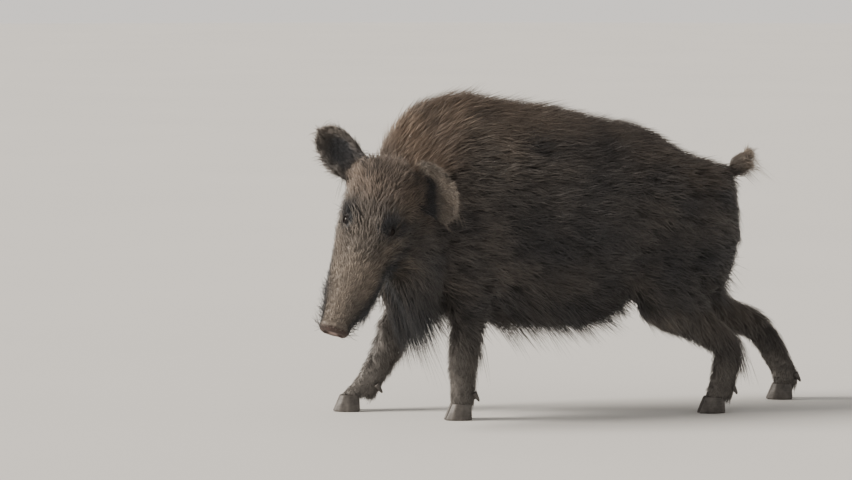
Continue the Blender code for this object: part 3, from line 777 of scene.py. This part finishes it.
def fused_flesh():
    """The flesh fused, smoothed and thinned, with the tree and the nodes of its solids."""
    mesh, tree, owner = joined_flesh()
    skin = new_object("skin", mesh)
    remesh = skin.modifiers.new("fuse", "REMESH")
    remesh.mode = "VOXEL"
    remesh.voxel_size = GRAIN
    bake_modifiers(skin)
    ears = np.char.startswith(np.array(FLESH)[nodes_near(skin.data, tree, owner)], "ear")
    edges = edges_of(skin.data)
    weight = 1 - 0.85 * spread(ears.astype(float), edges, 4)
    places = spread(points_of(skin.data), edges, 18, 0.5, weight)
    set_points(skin.data, even_sockets(places, edges, 60))
    thin = skin.modifiers.new("thin", "DECIMATE")
    thin.ratio = 0.30
    bake_modifiers(skin)
    for centre in EYE_CENTRES.values():
        for reach in (0.030, 0.024, 0.020, 0.016):
            refine(skin.data, centre, reach)
    for reach in (0.060, 0.044):
        refine(skin.data, DISC, reach)
    set_points(skin.data, even_sockets(points_of(skin.data), edges_of(skin.data), 30))
    return skin, tree, owner


def set_back(marks, depth):
    """The places of the skin's points, inside the flesh by the coat's depth."""
    soft = 1 - 0.85 * marks.ear - 0.6 * marks.limb
    shrink = -marks.normals * (marks.depth * depth + OVERLAP)[:, None]
    shrink = spread(spread(shrink, marks.edges, 3), marks.edges, 8, 0.5, soft)
    underside = ramp(-marks.normals[:, 2], 0.3, 0.8)
    shrink[:, 2] -= marks.sink * depth + 0.007 * marks.hem * underside
    places = spread(marks.places + shrink, marks.edges, 8, 0.5, soft * (1 - marks.head_share))
    return spread(places, marks.edges, 3, 0.5, soft)


def open_eyes(skin, marks, places):
    """Shapes the lids and keeps the eyeballs' places on the skin; returns the places and the dark lids."""
    faces = [tuple(face.vertices) for face in skin.data.polygons]
    surface = BVHTree.FromPolygons([Vector(p) for p in places], faces)
    hollow = np.zeros(len(places))
    marks.bare = np.zeros(len(places))
    for side, openness in (("left", 0.44), ("right", 0.38)):
        spot = surface.find_nearest(EYE_CENTRES[side])[0]
        around = np.linalg.norm(places - np.array(spot), axis=1) < 0.016
        out = Vector(normals_of(skin.data)[around].mean(axis=0)).normalized()
        centre = spot - out * (EYE_RADIUS - 0.0045)
        skin[f"eye_{side}"] = tuple(centre)
        places, lids = shape_eye(places, centre, out, openness)
        hollow = np.maximum(hollow, lids * 0.85)
        marks.bare = np.maximum(marks.bare, lids)
        marks.cover *= 1 - lids
    return places, hollow


def open_snout(marks, places, hollow):
    """Shapes the snout and the mouth, and returns the places and what is dark."""
    places, pits, dark, disc = shape_snout(places)
    # Painted shade in the nostril pits.
    hollow = np.maximum(hollow, pits)
    marks.bare = np.maximum(marks.bare, dark)
    pink = np.exp(-((disc_places(places)[0] / 0.012) ** 2)[:, :2].sum(axis=1))
    marks.warm = np.where(dark > 0.5, pink, marks.warm)
    marks.cover *= 1 - disc
    places, mouth = shape_mouth(places, marks.normals)
    marks.cover *= 1 - 0.6 * mouth
    # Painted shade along the crease of the mouth.
    return places, np.clip(hollow + 0.7 * mouth, 0, 1)


class BOAR_OT_skin(bpy.types.Operator):
    """One skin over all the flesh, inside it by the coat's depth, with lids, nostrils, folds and mouth"""

    bl_idname = "boar.skin"
    bl_label = "Skin"

    def execute(self, context):
        skin, tree, owner = fused_flesh()
        marks = Markings(skin.data, tree, owner)
        places = set_back(marks, context.scene.boar_coat.depth)
        set_points(skin.data, places)
        places, hollow = open_eyes(skin, marks, places)
        places, hollow = open_snout(marks, places, hollow)
        set_points(skin.data, places)
        marks.store(skin.data)
        put_attribute(skin.data, "hollow", hollow)
        put_attribute(skin.data, "node", marks.nodes.astype(float))
        skin.data.shade_smooth()
        skin.data.materials.clear()
        skin.data.materials.append(material("boar_skin", skin_material))
        finish_piece(skin, FLESH)
        return {"FINISHED"}


# The coat


class Tree(NodeTree):
    """A Geometry Nodes tree with named inputs."""

    def __init__(self, name, inputs):
        self.tree = bpy.data.node_groups.new(name, "GeometryNodeTree")
        self.tree.interface.new_socket("Geometry", in_out="INPUT", socket_type="NodeSocketGeometry")
        self.tree.interface.new_socket("Geometry", in_out="OUTPUT", socket_type="NodeSocketGeometry")
        for label, kind in inputs.items():
            self.tree.interface.new_socket(label, in_out="INPUT", socket_type=f"NodeSocket{kind}")
        self.entry = self.tree.nodes.new("NodeGroupInput").outputs
        self.exit = self.tree.nodes.new("NodeGroupOutput").inputs

    def node(self, kind, settings=(), values=()):
        """A new node; values gives its inputs, by name or by number, as values or sockets."""
        made = self.add(kind, settings)
        for key, value in dict(values).items():
            self.set(made.inputs[key], value)
        return made

    def named(self, name, kind="FLOAT"):
        made = self.node("GeometryNodeInputNamedAttribute", {"data_type": kind}, {"Name": name})
        return made.outputs["Attribute"]

    def math(self, operation, *values):
        return self.node("ShaderNodeMath", {"operation": operation}, dict(enumerate(values))).outputs[0]

    def vector(self, operation, *values):
        found = self.node("ShaderNodeVectorMath", {"operation": operation}, dict(enumerate(values)))
        return found.outputs["Value"] if operation == "DOT_PRODUCT" else found.outputs["Vector"]

    def times(self, vector, number):
        scale = {"operation": "SCALE"}
        return self.node("ShaderNodeVectorMath", scale, {0: vector, "Scale": number}).outputs[0]

    def chance(self, low, high, seed, key):
        values = {2: low, 3: high, "ID": self.node("GeometryNodeInputIndex").outputs[0]}
        values["Seed"] = self.math("ADD", seed, float(key))
        return self.node("FunctionNodeRandomValue", {"data_type": "FLOAT"}, values).outputs[1]

    def keep(self, geometry, name, value, kind="FLOAT", domain="POINT"):
        settings = {"data_type": kind, "domain": domain}
        values = {"Geometry": geometry, "Name": name, "Value": value}
        return self.node("GeometryNodeStoreNamedAttribute", settings, values).outputs[0]


def coat_tree():
    """Lays locks over the skin: scattered by its cover, turned along its comb, sized by its length."""
    inputs = {"Locks": "Collection", "Density": "Float", "Seed": "Int", "Length": "Float"}
    inputs |= {"Thickness": "Float", "Unruly": "Float", "Material": "Material"}
    t = Tree("lay_coat", inputs)
    skin, seed = t.entry["Geometry"], t.entry["Seed"]
    density = t.math("MULTIPLY", t.entry["Density"], t.named("cover"))
    scatter = t.node(
        "GeometryNodeDistributePointsOnFaces",
        {"distribute_method": "RANDOM"},
        {"Mesh": skin, "Density": density, "Seed": seed},
    )
    points = scatter.outputs["Points"]
    upright = t.vector("NORMALIZE", t.named("outward", "FLOAT_VECTOR"))
    length = t.math("MULTIPLY", t.named("length"), t.entry["Length"])
    length = t.math("MULTIPLY", length, t.chance(0.72, 1.18, seed, 1))
    stray = t.math("MULTIPLY", t.math("POWER", t.chance(0.0, 1.0, seed, 6), 3.0), t.named("fringe"))
    length = t.math("MULTIPLY", length, t.math("MULTIPLY_ADD", stray, 0.8, 1.0))
    root = t.node("GeometryNodeInputPosition").outputs[0]
    points = t.keep(points, "root", root, "FLOAT_VECTOR")
    points = t.keep(points, "upright", upright, "FLOAT_VECTOR")
    points = t.keep(points, "reach", length)
    points = t.keep(points, "free", t.math("ADD", t.named("loose"), stray))
    points = t.keep(points, "hang", t.math("MULTIPLY_ADD", stray, 0.7, t.named("droop")))
    points = t.keep(points, "chance", t.chance(0.0, 1.0, seed, 2))
    points = t.keep(points, "lift", t.math("MULTIPLY", t.named("lift"), t.chance(0.70, 1.25, seed, 3)))
    axes = {"primary_axis": "Z", "secondary_axis": "X"}
    comb = t.named("comb", "FLOAT_VECTOR")
    facing = t.node("FunctionNodeAxesToRotation", axes, {0: upright, 1: comb}).outputs[0]
    swing = t.math("MULTIPLY", t.chance(-1.0, 1.0, seed, 4), t.entry["Unruly"])
    spin = t.node("FunctionNodeAxisAngleToRotation", {}, {"Axis": (0, 0, 1), "Angle": swing}).outputs[0]
    turn = t.node("FunctionNodeRotateRotation", {"rotation_space": "LOCAL"}, {0: facing, 1: spin}).outputs[0]
    thickness = t.math("MULTIPLY", t.entry["Thickness"], t.chance(0.75, 1.25, seed, 5))
    slim = t.math("MINIMUM", t.math("MULTIPLY_ADD", t.named("length"), 22.0, 0.30), 1.0)
    thickness = t.math("MULTIPLY", thickness, slim)
    size = t.node("ShaderNodeCombineXYZ", {}, {0: length, 1: thickness, 2: thickness}).outputs[0]
    for name, axis, scale in (("ahead", (1, 0, 0), length), ("aside", (0, 1, 0), thickness)):
        turned = t.node("FunctionNodeRotateVector", {}, {"Vector": axis, "Rotation": turn}).outputs[0]
        points = t.keep(points, name, t.times(turned, scale), "FLOAT_VECTOR")
    locks = t.node(
        "GeometryNodeCollectionInfo",
        {},
        {"Collection": t.entry["Locks"], "Separate Children": True, "Reset Children": True},
    ).outputs[0]
    placed = t.node(
        "GeometryNodeInstanceOnPoints",
        {},
        {"Points": points, "Instance": locks, "Pick Instance": True, "Rotation": turn, "Scale": size},
    ).outputs[0]
    hair = t.node("GeometryNodeRealizeInstances", {}, {"Geometry": placed}).outputs[0]
    follow_skin(t, hair, skin)
    return t.tree


def follow_skin(t, hair, skin):
    """Bends the realized locks along the skin, lifts them towards their tips and lets them droop."""
    place = t.node("GeometryNodeInputPosition").outputs[0]
    along = t.named("along")
    reach = t.named("reach")
    upright = t.named("upright", "FLOAT_VECTOR")
    forward = t.times(t.named("ahead", "FLOAT_VECTOR"), t.named("core_x"))
    core = t.vector("ADD", t.named("root", "FLOAT_VECTOR"), forward)
    core = t.vector("ADD", core, t.times(t.named("aside", "FLOAT_VECTOR"), t.named("core_y")))
    rise = t.math("MULTIPLY", t.named("lift"), t.named("stand"))
    arch = t.math("SUBTRACT", along, t.math("MULTIPLY", t.math("MULTIPLY", along, along), 0.30))
    rise = t.math("MULTIPLY", t.math("MULTIPLY", rise, arch), reach)
    rise = t.math("SUBTRACT", rise, t.math("MULTIPLY", reach, 0.014))

    def near(value):
        settings = {"data_type": "FLOAT_VECTOR"}
        values = {"Mesh": skin, "Value": value, "Sample Position": core}
        return t.node("GeometryNodeSampleNearestSurface", settings, values).outputs[0]

    ground = near(t.node("GeometryNodeInputPosition").outputs[0])
    outward = t.vector("NORMALIZE", near(t.named("outward", "FLOAT_VECTOR")))
    hugging = t.vector("ADD", ground, t.times(outward, rise))
    free = t.vector("ADD", core, t.times(upright, rise))
    beyond = t.math("MULTIPLY_ADD", t.vector("DOT_PRODUCT", outward, upright), -2.5, 0.7)
    share = t.math("MINIMUM", t.math("MAXIMUM", t.named("free"), beyond), 1.0)
    loose = t.node("ShaderNodeMix", {"data_type": "VECTOR"}, {0: share, 4: hugging, 5: free})
    sag = t.math("MULTIPLY", t.math("MULTIPLY", along, along), t.math("MULTIPLY", reach, t.named("hang")))
    fallen = t.vector("SUBTRACT", loose.outputs[1], t.node("ShaderNodeCombineXYZ", {}, {2: sag}).outputs[0])
    fallen = t.vector("ADD", fallen, t.vector("SUBTRACT", place, core))
    moved = t.node("GeometryNodeSetPosition", {}, {"Geometry": hair, "Position": fallen}).outputs[0]
    painted = t.node("GeometryNodeSetMaterial", {}, {"Geometry": moved, "Material": t.entry["Material"]})
    t.set(t.exit["Geometry"], painted.outputs[0])


def strand(bm, layers, start, end, side, root, width, stand, rng):
    """A three-sided bristle along X, thickest near its root, ending in a point."""
    along, height, across, core_x, core_y = layers
    rings = []
    bend = rng.uniform(-0.0035, 0.0035)
    for t, size in ((0.0, 0.75), (0.5, 1.0)):
        x = start + (end - start) * t
        y = root + (side - root) * t + bend * 4 * t * (1 - t)
        ring = []
        for k in range(3):
            angle = math.radians(90 + 120 * k)
            place = (x, y + width * size * math.cos(angle), width * 0.6 * size * math.sin(angle))
            ring.append(bm.verts.new(place))
            ring[k][core_x], ring[k][core_y] = x, y
        rings.append((t, ring))
    point = bm.verts.new((end, side, 0.0))
    point[core_x], point[core_y] = end, side
    (_, low), (_, high) = rings
    for k in range(3):
        n = (k + 1) % 3
        bm.faces.new((low[k], high[k], high[n], low[n]))
        bm.faces.new((high[k], point, high[n]))
    bm.faces.new(low)
    for t, ring in [*rings, (1.0, [point])]:
        for k, vertex in enumerate(ring):
            vertex[along] = t
            vertex[height] = stand
            vertex[across] = (k - 1) * 0.45 * (1 - t)


def lock(name, where, strands, gather, width, spreading, seed):
    """A lock of bristles of unit length, which gather towards their tips."""
    rng = np.random.default_rng(seed)
    bm = bmesh.new()
    layers = [bm.verts.layers.float.new(key) for key in ("along", "stand", "across", "core_x", "core_y")]
    for k in range(strands):
        root = spreading * (k / max(strands - 1, 1) * 2 - 1) * rng.uniform(0.6, 1.2)
        start = rng.uniform(-0.16, 0.22)
        end = start + rng.uniform(0.78, 1.08)
        side = root * gather + rng.uniform(-0.35, 0.35) * spreading
        thickness = width * rng.uniform(0.7, 1.25)
        strand(bm, layers, start, end, side, root, thickness, rng.uniform(0.55, 1.15), rng)
    bmesh.ops.recalc_face_normals(bm, faces=bm.faces)
    mesh = bpy.data.meshes.new(name)
    bm.to_mesh(mesh)
    bm.free()
    mesh.shade_smooth()
    where.objects.link(bpy.data.objects.new(name, mesh))


def lock_collection(name, strands, gather, width, spreading, kinds=6):
    """A hidden set of unlike locks."""
    made = bpy.data.collections.new(name)
    for k in range(kinds):
        lock(f"{name}_{k}", made, strands, gather, width, spreading, SEED + 10 * k)
    return made


def region(name, mesh):
    """1 where the skin belongs to the coat piece of that name, 0 elsewhere."""
    nodes = np.array(FLESH)[np.round(get_attribute(mesh, "node")).astype(int)]
    return np.isin(nodes, COAT_PIECES[name].nodes).astype(float)


def unwrap_round(points, centre, axis, start, end):
    """Round the axis, and along it, as fractions."""
    axis = np.array(axis) / np.linalg.norm(axis)
    side = np.cross(axis, (0.3, 0.2, 1.0) if abs(axis[2]) < 0.9 else (1.0, 0.1, 0.0))
    side /= np.linalg.norm(side)
    other = np.cross(axis, side)
    away = points - np.array(centre)
    angle = np.arctan2(away @ other, away @ side) / (2 * math.pi) + 0.5
    along = (away @ axis - start) / (end - start)
    return np.stack([angle, np.clip(along, 0, 1)], axis=1)


def unwrap_region(kind, roots, upright):
    """Where each root lies on an unwrap of the piece's share of the skin, in the unit square."""
    low, high = roots.min(axis=0), roots.max(axis=0)
    if kind == "legs":
        columns = []
        for leg in LEGS:
            near = middle(f"{leg}_cannon")
            columns.append(np.hypot(*(roots[:, :2] - np.array(near)[:2]).T))
        leg = np.argmin(columns, axis=0)
        found = np.zeros((len(roots), 2))
        for k, name in enumerate(LEGS):
            mask = leg == k
            top = middle([n for n in FLESH if n.startswith(name)][0])
            foot = middle(f"{name}_claw_outer")
            rows = unwrap_round(roots[mask], foot, top - foot, 0, 0.33)
            found[mask] = (rows + [k, 0]) / [4, 1]
        return found
    if kind == "ears":
        found = np.zeros((len(roots), 2))
        for side, column in (("left", 0), ("right", 2)):
            centre = np.array(middle(f"ear_{side}"))
            mask = np.linalg.norm(roots - centre, axis=1) < 0.12
            away = roots[mask] - centre
            inner = (upright[mask] @ OUT > 0).astype(float)
            across = np.clip(away @ LEFT / 0.16 + 0.5, 0, 1)
            along = np.clip(away @ NOSE / 0.18 + 0.5, 0, 1)
            found[mask] = np.stack([(across + column + inner) / 4, along], axis=1)
        return found
    if kind == "head":
        centre = np.array(BETWEEN_EYES) - OUT * 0.07
        return unwrap_round(roots, centre, HEAD_NOSE, -0.22, HEAD_LENGTH + 0.02)
    centre = (low + high) / 2
    return unwrap_round(roots, centre, (0, 1, 0), low[1] - centre[1], high[1] - centre[1])


PATCH = 0.003  # width of a tuft on the unwrap


def map_tufts(mesh, kind):
    """The UV map, where each tuft is a small patch at its root's place."""
    roots = get_attribute(mesh, "root", 3)
    upright = get_attribute(mesh, "upright", 3)
    local = np.stack([get_attribute(mesh, "along"), get_attribute(mesh, "across") + 0.5], axis=1)
    spot = unwrap_region(kind, roots, upright) * (1 - 2 * PATCH) + PATCH
    places = spot + (local - 0.5) * PATCH
    corners = np.empty(len(mesh.loops), np.int32)
    mesh.loops.foreach_get("vertex_index", corners)
    layer = mesh.uv_layers.new(name="OFBake")
    layer.data.foreach_set("uv", places[corners].astype(np.float32).ravel())


class CoatPiece:
    """Which flesh a coat piece grows on, and how it is laid."""

    def __init__(self, nodes, kind, faces, locks, thickness=1.0, unruly=0.30, length=1.0, mask=None):
        self.nodes = nodes
        self.kind = kind
        self.faces = faces
        self.locks = locks
        self.thickness = thickness
        self.unruly = unruly
        self.length = length
        self.mask = mask


# Locks: bristles in each, how far they keep apart at their tips, half width and half spread in metres.
LOCKS = {
    "body": (5, 0.40, 0.00098, 0.0088),
    "mane": (5, 0.60, 0.00072, 0.0075),
    "face": (3, 0.75, 0.00062, 0.0036),
    "short": (3, 0.80, 0.00066, 0.0034),
    "whisker": (1, 1.00, 0.00050, 0.0),
}
COAT_PIECES = {
    "coat_shoulders": CoatPiece(["trunk_shoulders"], "trunk", 190000, "body"),
    "coat_barrel": CoatPiece(["trunk_barrel"], "trunk", 175000, "body"),
    "coat_hindquarters": CoatPiece(["trunk_hindquarters"], "trunk", 190000, "body"),
    "coat_neck": CoatPiece(["neck", "throat"], "trunk", 185000, "body"),
    "coat_head": CoatPiece(FACE, "head", 190000, "face", unruly=0.35),
    "coat_legs": CoatPiece([n for n in FLESH if "leg" in n], "legs", 190000, "short", unruly=0.25),
    "coat_ears": CoatPiece(EARS, "ears", 90000, "face", 0.8, 0.4),
    "coat_tail": CoatPiece(["tail"], "trunk", 30000, "face", 0.9, 0.5),
    "coat_mane": CoatPiece(["neck", *TRUNK], "trunk", 190000, "mane", 1.0, 0.35, 1.05, "mane"),
    "coat_whiskers": CoatPiece(FACE, "head", 9000, "whisker", 1.0, 0.9, 1.0, "whiskers"),
}


def grow(name):
    """Makes one piece of the coat and returns it."""
    piece = COAT_PIECES[name]
    settings = bpy.context.scene.boar_coat
    skin = bpy.data.objects["skin"].data.copy()
    cover = get_attribute(skin, "cover") * region(name, skin)
    if piece.mask:
        cover *= ramp(get_attribute(skin, piece.mask), 0.25, 0.9)
    if piece.kind == "head" and piece.mask:
        cover = np.minimum(cover, 1)
        put_attribute(skin, "length", 0.018 + 0.016 * get_attribute(skin, piece.mask))
        put_attribute(skin, "lift", np.full(len(cover), 0.75))
        put_attribute(skin, "loose", np.ones(len(cover)))
        put_attribute(skin, "pale", get_attribute(skin, "pale") * 0.3)
    put_attribute(skin, "cover", cover)
    faces = np.empty(len(skin.polygons), np.float32)
    skin.polygons.foreach_get("area", faces)
    share = np.array([cover[list(f.vertices)].mean() for f in skin.polygons])
    strands = LOCKS[piece.locks][0]
    wanted = piece.faces * settings.density / (strands * 10)
    thing = new_object(name, skin)
    tree = bpy.data.node_groups.get("lay_coat") or coat_tree()
    modifier = thing.modifiers.new("coat", "NODES")
    modifier.node_group = tree
    values = {
        "Locks": bpy.data.collections.get(f"locks_{piece.locks}")
        or lock_collection(f"locks_{piece.locks}", *LOCKS[piece.locks]),
        "Density": wanted / float((faces * share).sum()),
        "Seed": SEED + list(COAT_PIECES).index(name),
        "Length": piece.length * settings.length,
        "Thickness": piece.thickness * settings.thickness,
        "Unruly": piece.unruly,
        "Material": material("boar_coat", coat_material),
    }
    for item in tree.interface.items_tree:
        if item.in_out == "INPUT" and item.name in values:
            modifier[item.identifier] = values[item.name]
    bake_modifiers(thing)
    map_tufts(thing.data, piece.kind)
    finish_piece(thing)
    return thing


def coat_operator(name, label):
    """An operator that grows one piece of the coat."""

    def execute(self, context):
        grow(name)
        return {"FINISHED"}

    fields = {
        "__doc__": f"Grows the coat of the {label.lower()}",
        "bl_idname": f"boar.{name}",
        "bl_label": label,
        "execute": execute,
    }
    return type(f"BOAR_OT_{name}", (bpy.types.Operator,), fields)


COAT_OPERATORS = [coat_operator(name, name.removeprefix("coat_").capitalize()) for name in COAT_PIECES]


# Eyes and hooves


class BOAR_OT_eyes(bpy.types.Operator):
    """Glossy dark eyeballs behind the lids"""

    bl_idname = "boar.eyes"
    bl_label = "Eyes"

    def execute(self, context):
        skin = bpy.data.objects["skin"]
        for side in EYE_CENTRES:
            bm = bmesh.new()
            bmesh.ops.create_uvsphere(bm, u_segments=48, v_segments=32, radius=EYE_RADIUS)
            bm.transform(Matrix.Translation(skin[f"eye_{side}"]))
            mesh = bpy.data.meshes.new(f"eyeball_{side}")
            bm.to_mesh(mesh)
            bm.free()
            mesh.shade_smooth()
            mesh.materials.append(material("boar_eye", eye_material))
            finish_piece(new_object(f"eyeball_{side}", mesh), [f"eye_{side}"])
        return {"FINISHED"}


def rounded_claw(node, name):
    """The claw's solid with its edges rounded."""
    bm = bmesh.new()
    bm.from_mesh(NODES[node].data)
    bm.transform(NODES[node].matrix_world)
    bmesh.ops.remove_doubles(bm, verts=bm.verts, dist=1e-5)
    bmesh.ops.dissolve_limit(bm, angle_limit=math.radians(3), verts=bm.verts, edges=bm.edges)
    mesh = bpy.data.meshes.new(name)
    bm.to_mesh(mesh)
    bm.free()
    claw = new_object(name, mesh)
    remesh = claw.modifiers.new("even", "REMESH")
    remesh.mode = "VOXEL"
    remesh.voxel_size = 0.0016
    smooth = claw.modifiers.new("smooth", "SMOOTH")
    smooth.factor = 0.5
    smooth.iterations = 6
    bake_modifiers(claw)
    places = points_of(claw.data)
    low = np.array(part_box(node)[0])
    if "dewclaw" in node:
        centre = places.mean(axis=0)
        axis = np.linalg.svd(places - centre, full_matrices=False)[2][0]
        axis = axis * -np.sign(axis[2])
        along = (places - centre) @ axis
        tip = (along - along.min()) / (along.max() - along.min())
        core = centre + np.outer(along, axis)
        places = core + (places - core) * (1 - 0.45 * tip**1.5)[:, None]
    else:
        places[:, 2] += low[2] - places[:, 2].min()
    set_points(claw.data, places)
    claw.data.shade_smooth()
    claw.data.materials.clear()
    claw.data.materials.append(material("boar_horn", horn_material))
    return claw


class BOAR_OT_claws(bpy.types.Operator):
    """Rounded, dusty claws and dewclaws"""

    bl_idname = "boar.claws"
    bl_label = "Claws"

    def execute(self, context):
        for node in NODES:
            if "claw" in node:
                finish_piece(rounded_claw(node, f"horn_{node}"), [node])
        return {"FINISHED"}


# The stage


class BOAR_OT_stage(bpy.types.Operator):
    """Pale floor, soft lights and the camera"""

    bl_idname = "boar.stage"
    bl_label = "Stage"

    def execute(self, context):
        settings = context.scene.boar_stage
        bm = bmesh.new()
        bmesh.ops.create_circle(bm, cap_ends=True, segments=96, radius=30)
        mesh = bpy.data.meshes.new("floor")
        bm.to_mesh(mesh)
        bm.free()
        floor = new_object("floor", mesh)
        shader = Shader("pale_floor")
        cloud = shader.noise(0.8, 2).outputs["Fac"]
        shader.surface(Base_Color=shader.mix(cloud, rgba(settings.floor, 0.96), rgba(settings.floor, 1.04)))
        shader.surface(Roughness=0.9)
        mesh.materials.append(shader.material)
        world = bpy.data.worlds.new("studio")
        world.use_nodes = True
        nodes, links = world.node_tree.nodes, world.node_tree.links
        split = nodes.new("ShaderNodeSeparateXYZ")
        links.new(nodes.new("ShaderNodeTexCoord").outputs["Generated"], split.inputs[0])
        fade = nodes.new("ShaderNodeMapRange")
        links.new(split.outputs["Z"], fade.inputs["Value"])
        spread_out = {"From Min": 0.02, "From Max": 0.45, "To Min": settings.haze, "To Max": 1.0}
        for key, value in spread_out.items():
            fade.inputs[key].default_value = value
        sky = nodes["Background"].inputs
        sky["Color"].default_value = rgba(settings.sky, settings.fill)
        links.new(fade.outputs["Result"], sky["Strength"])
        context.scene.world = world
        self.sun(settings)
        self.camera(context, settings)
        return {"FINISHED"}

    def sun(self, settings):
        data = bpy.data.lights.new("key", "SUN")
        data.energy = settings.key
        data.angle = settings.softness
        data.color = (1.0, 0.92, 0.82)
        lamp = bpy.data.objects.new("key", data)
        lamp.rotation_euler = (-Vector(settings.sun)).to_track_quat("-Z", "Y").to_euler()
        bpy.context.scene.collection.objects.link(lamp)

    def camera(self, context, settings):
        data = bpy.data.cameras.new("camera")
        data.lens = settings.lens
        data.clip_end = 100
        camera = bpy.data.objects.new("camera", data)
        turn, rise = settings.azimuth, settings.elevation
        back = Vector((math.sin(turn) * math.cos(rise), -math.cos(turn) * math.cos(rise), math.sin(rise)))
        camera.location = Vector(settings.target) + back * settings.distance
        camera.rotation_euler = (-back).to_track_quat("-Z", "Y").to_euler()
        context.scene.collection.objects.link(camera)
        context.scene.camera = camera


# Settings, panel and registration


def number(name, default, description, **limits):
    return FloatProperty(name=name, default=default, description=description, **limits)


def triple(name, default, description, **limits):
    return FloatVectorProperty(name=name, default=default, description=description, **limits)


def colour(name, default, description):
    return triple(name, default, description, subtype="COLOR", max=1, min=0)


class BoarColours(bpy.types.PropertyGroup):
    # Root and flank tip: the boar's own dark grey-brown, made darker and blue-grey as painted shade on the
    # flank.
    root: colour("Root", (0.0072, 0.0084, 0.0108), "Hair at its root, over the whole body")
    flank_tip: colour("Flank tip", (0.031, 0.0355, 0.047), "Tips of the dark hair on the flanks")
    pale_tip: colour("Pale tip", (0.430, 0.360, 0.295), "Tips of the grizzled hair on the face and back")
    # Mane tip: rusty tips, laid where the skin faces up, so they also stand for painted sunlight on the top.
    mane_tip: colour("Mane tip", (0.375, 0.270, 0.198), "Rusty tips over the nape and withers")
    dust: colour("Dust", (0.138, 0.127, 0.117), "Dried mud on the lower legs")
    nose: colour("Nose", (0.210, 0.140, 0.120), "Bare skin of the snout")
    eye: colour("Eye", (0.007, 0.004, 0.003), "Iris and pupil seen through the cornea")
    horn: colour("Horn", (0.034, 0.029, 0.026), "Hooves under their dust")


class BoarCoat(bpy.types.PropertyGroup):
    depth: number("Depth", 1.0, "Share of the coat's depth", min=0.5, max=1.2)
    length: number("Length", 1.0, "Share of the hair's length", min=0.5, max=1.5)
    thickness: number("Thickness", 1.0, "Share of its thickness", min=0.5, max=2)
    density: number("Density", 1.0, "Share of the locks grown", min=0.1, max=1.0)


class BoarStage(bpy.types.PropertyGroup):
    floor: colour("Floor", (0.655, 0.648, 0.63), "The plain floor")
    sky: colour("Sky", (0.661, 0.629, 0.591), "Light from all round")
    fill: number("Fill", 0.80, "Strength of the light from all round", min=0)
    haze: number("Haze", 1.9, "How much brighter the horizon is", min=0)
    key: number("Key", 7.0, "Strength of the sunny light from the front", min=0)
    softness: number("Softness", math.radians(24), "Width of the key", unit="ROTATION")
    sun: triple("Sun", (-0.08, -0.90, 0.46), "Direction towards the key light")
    azimuth: number("Azimuth", math.radians(78), "Round the body", unit="ROTATION")
    elevation: number("Elevation", math.radians(5), "Above level", unit="ROTATION")
    distance: number("Distance", 9.0, "From the camera to the target", unit="LENGTH")
    lens: number("Lens", 162.2, "Focal length in millimetres")
    target: triple("Target", (-0.056, -0.3252, 0.412), "Point in the picture's middle", unit="LENGTH")


class BOAR_PT_panel(bpy.types.Panel):
    """Lists the settings and the pieces"""

    bl_idname = "BOAR_PT_panel"
    bl_label = "Wild boar"
    bl_space_type = "VIEW_3D"
    bl_region_type = "UI"
    bl_category = "Boar"

    def draw(self, context):
        for group in SETTINGS:
            settings = getattr(context.scene, group)
            box = self.layout.box()
            for key in settings.__annotations__:
                box.prop(settings, key)
        for operator in OPERATORS:
            self.layout.operator(operator.bl_idname)


SETTINGS = {"boar_colours": BoarColours, "boar_coat": BoarCoat, "boar_stage": BoarStage}
OPERATORS = [BOAR_OT_skin, *COAT_OPERATORS, BOAR_OT_eyes, BOAR_OT_claws, BOAR_OT_stage]
CLASSES = [*SETTINGS.values(), *OPERATORS, BOAR_PT_panel]


def register():
    for each in CLASSES:
        bpy.utils.register_class(each)
    for name, group in SETTINGS.items():
        setattr(bpy.types.Scene, name, PointerProperty(type=group))


def unregister():
    for name in SETTINGS:
        delattr(bpy.types.Scene, name)
    for each in reversed(CLASSES):
        bpy.utils.unregister_class(each)


def main():
    register()
    for operator in OPERATORS:
        group, name = operator.bl_idname.split(".")
        getattr(getattr(bpy.ops, group), name)()


if __name__ == "__main__":
    main()
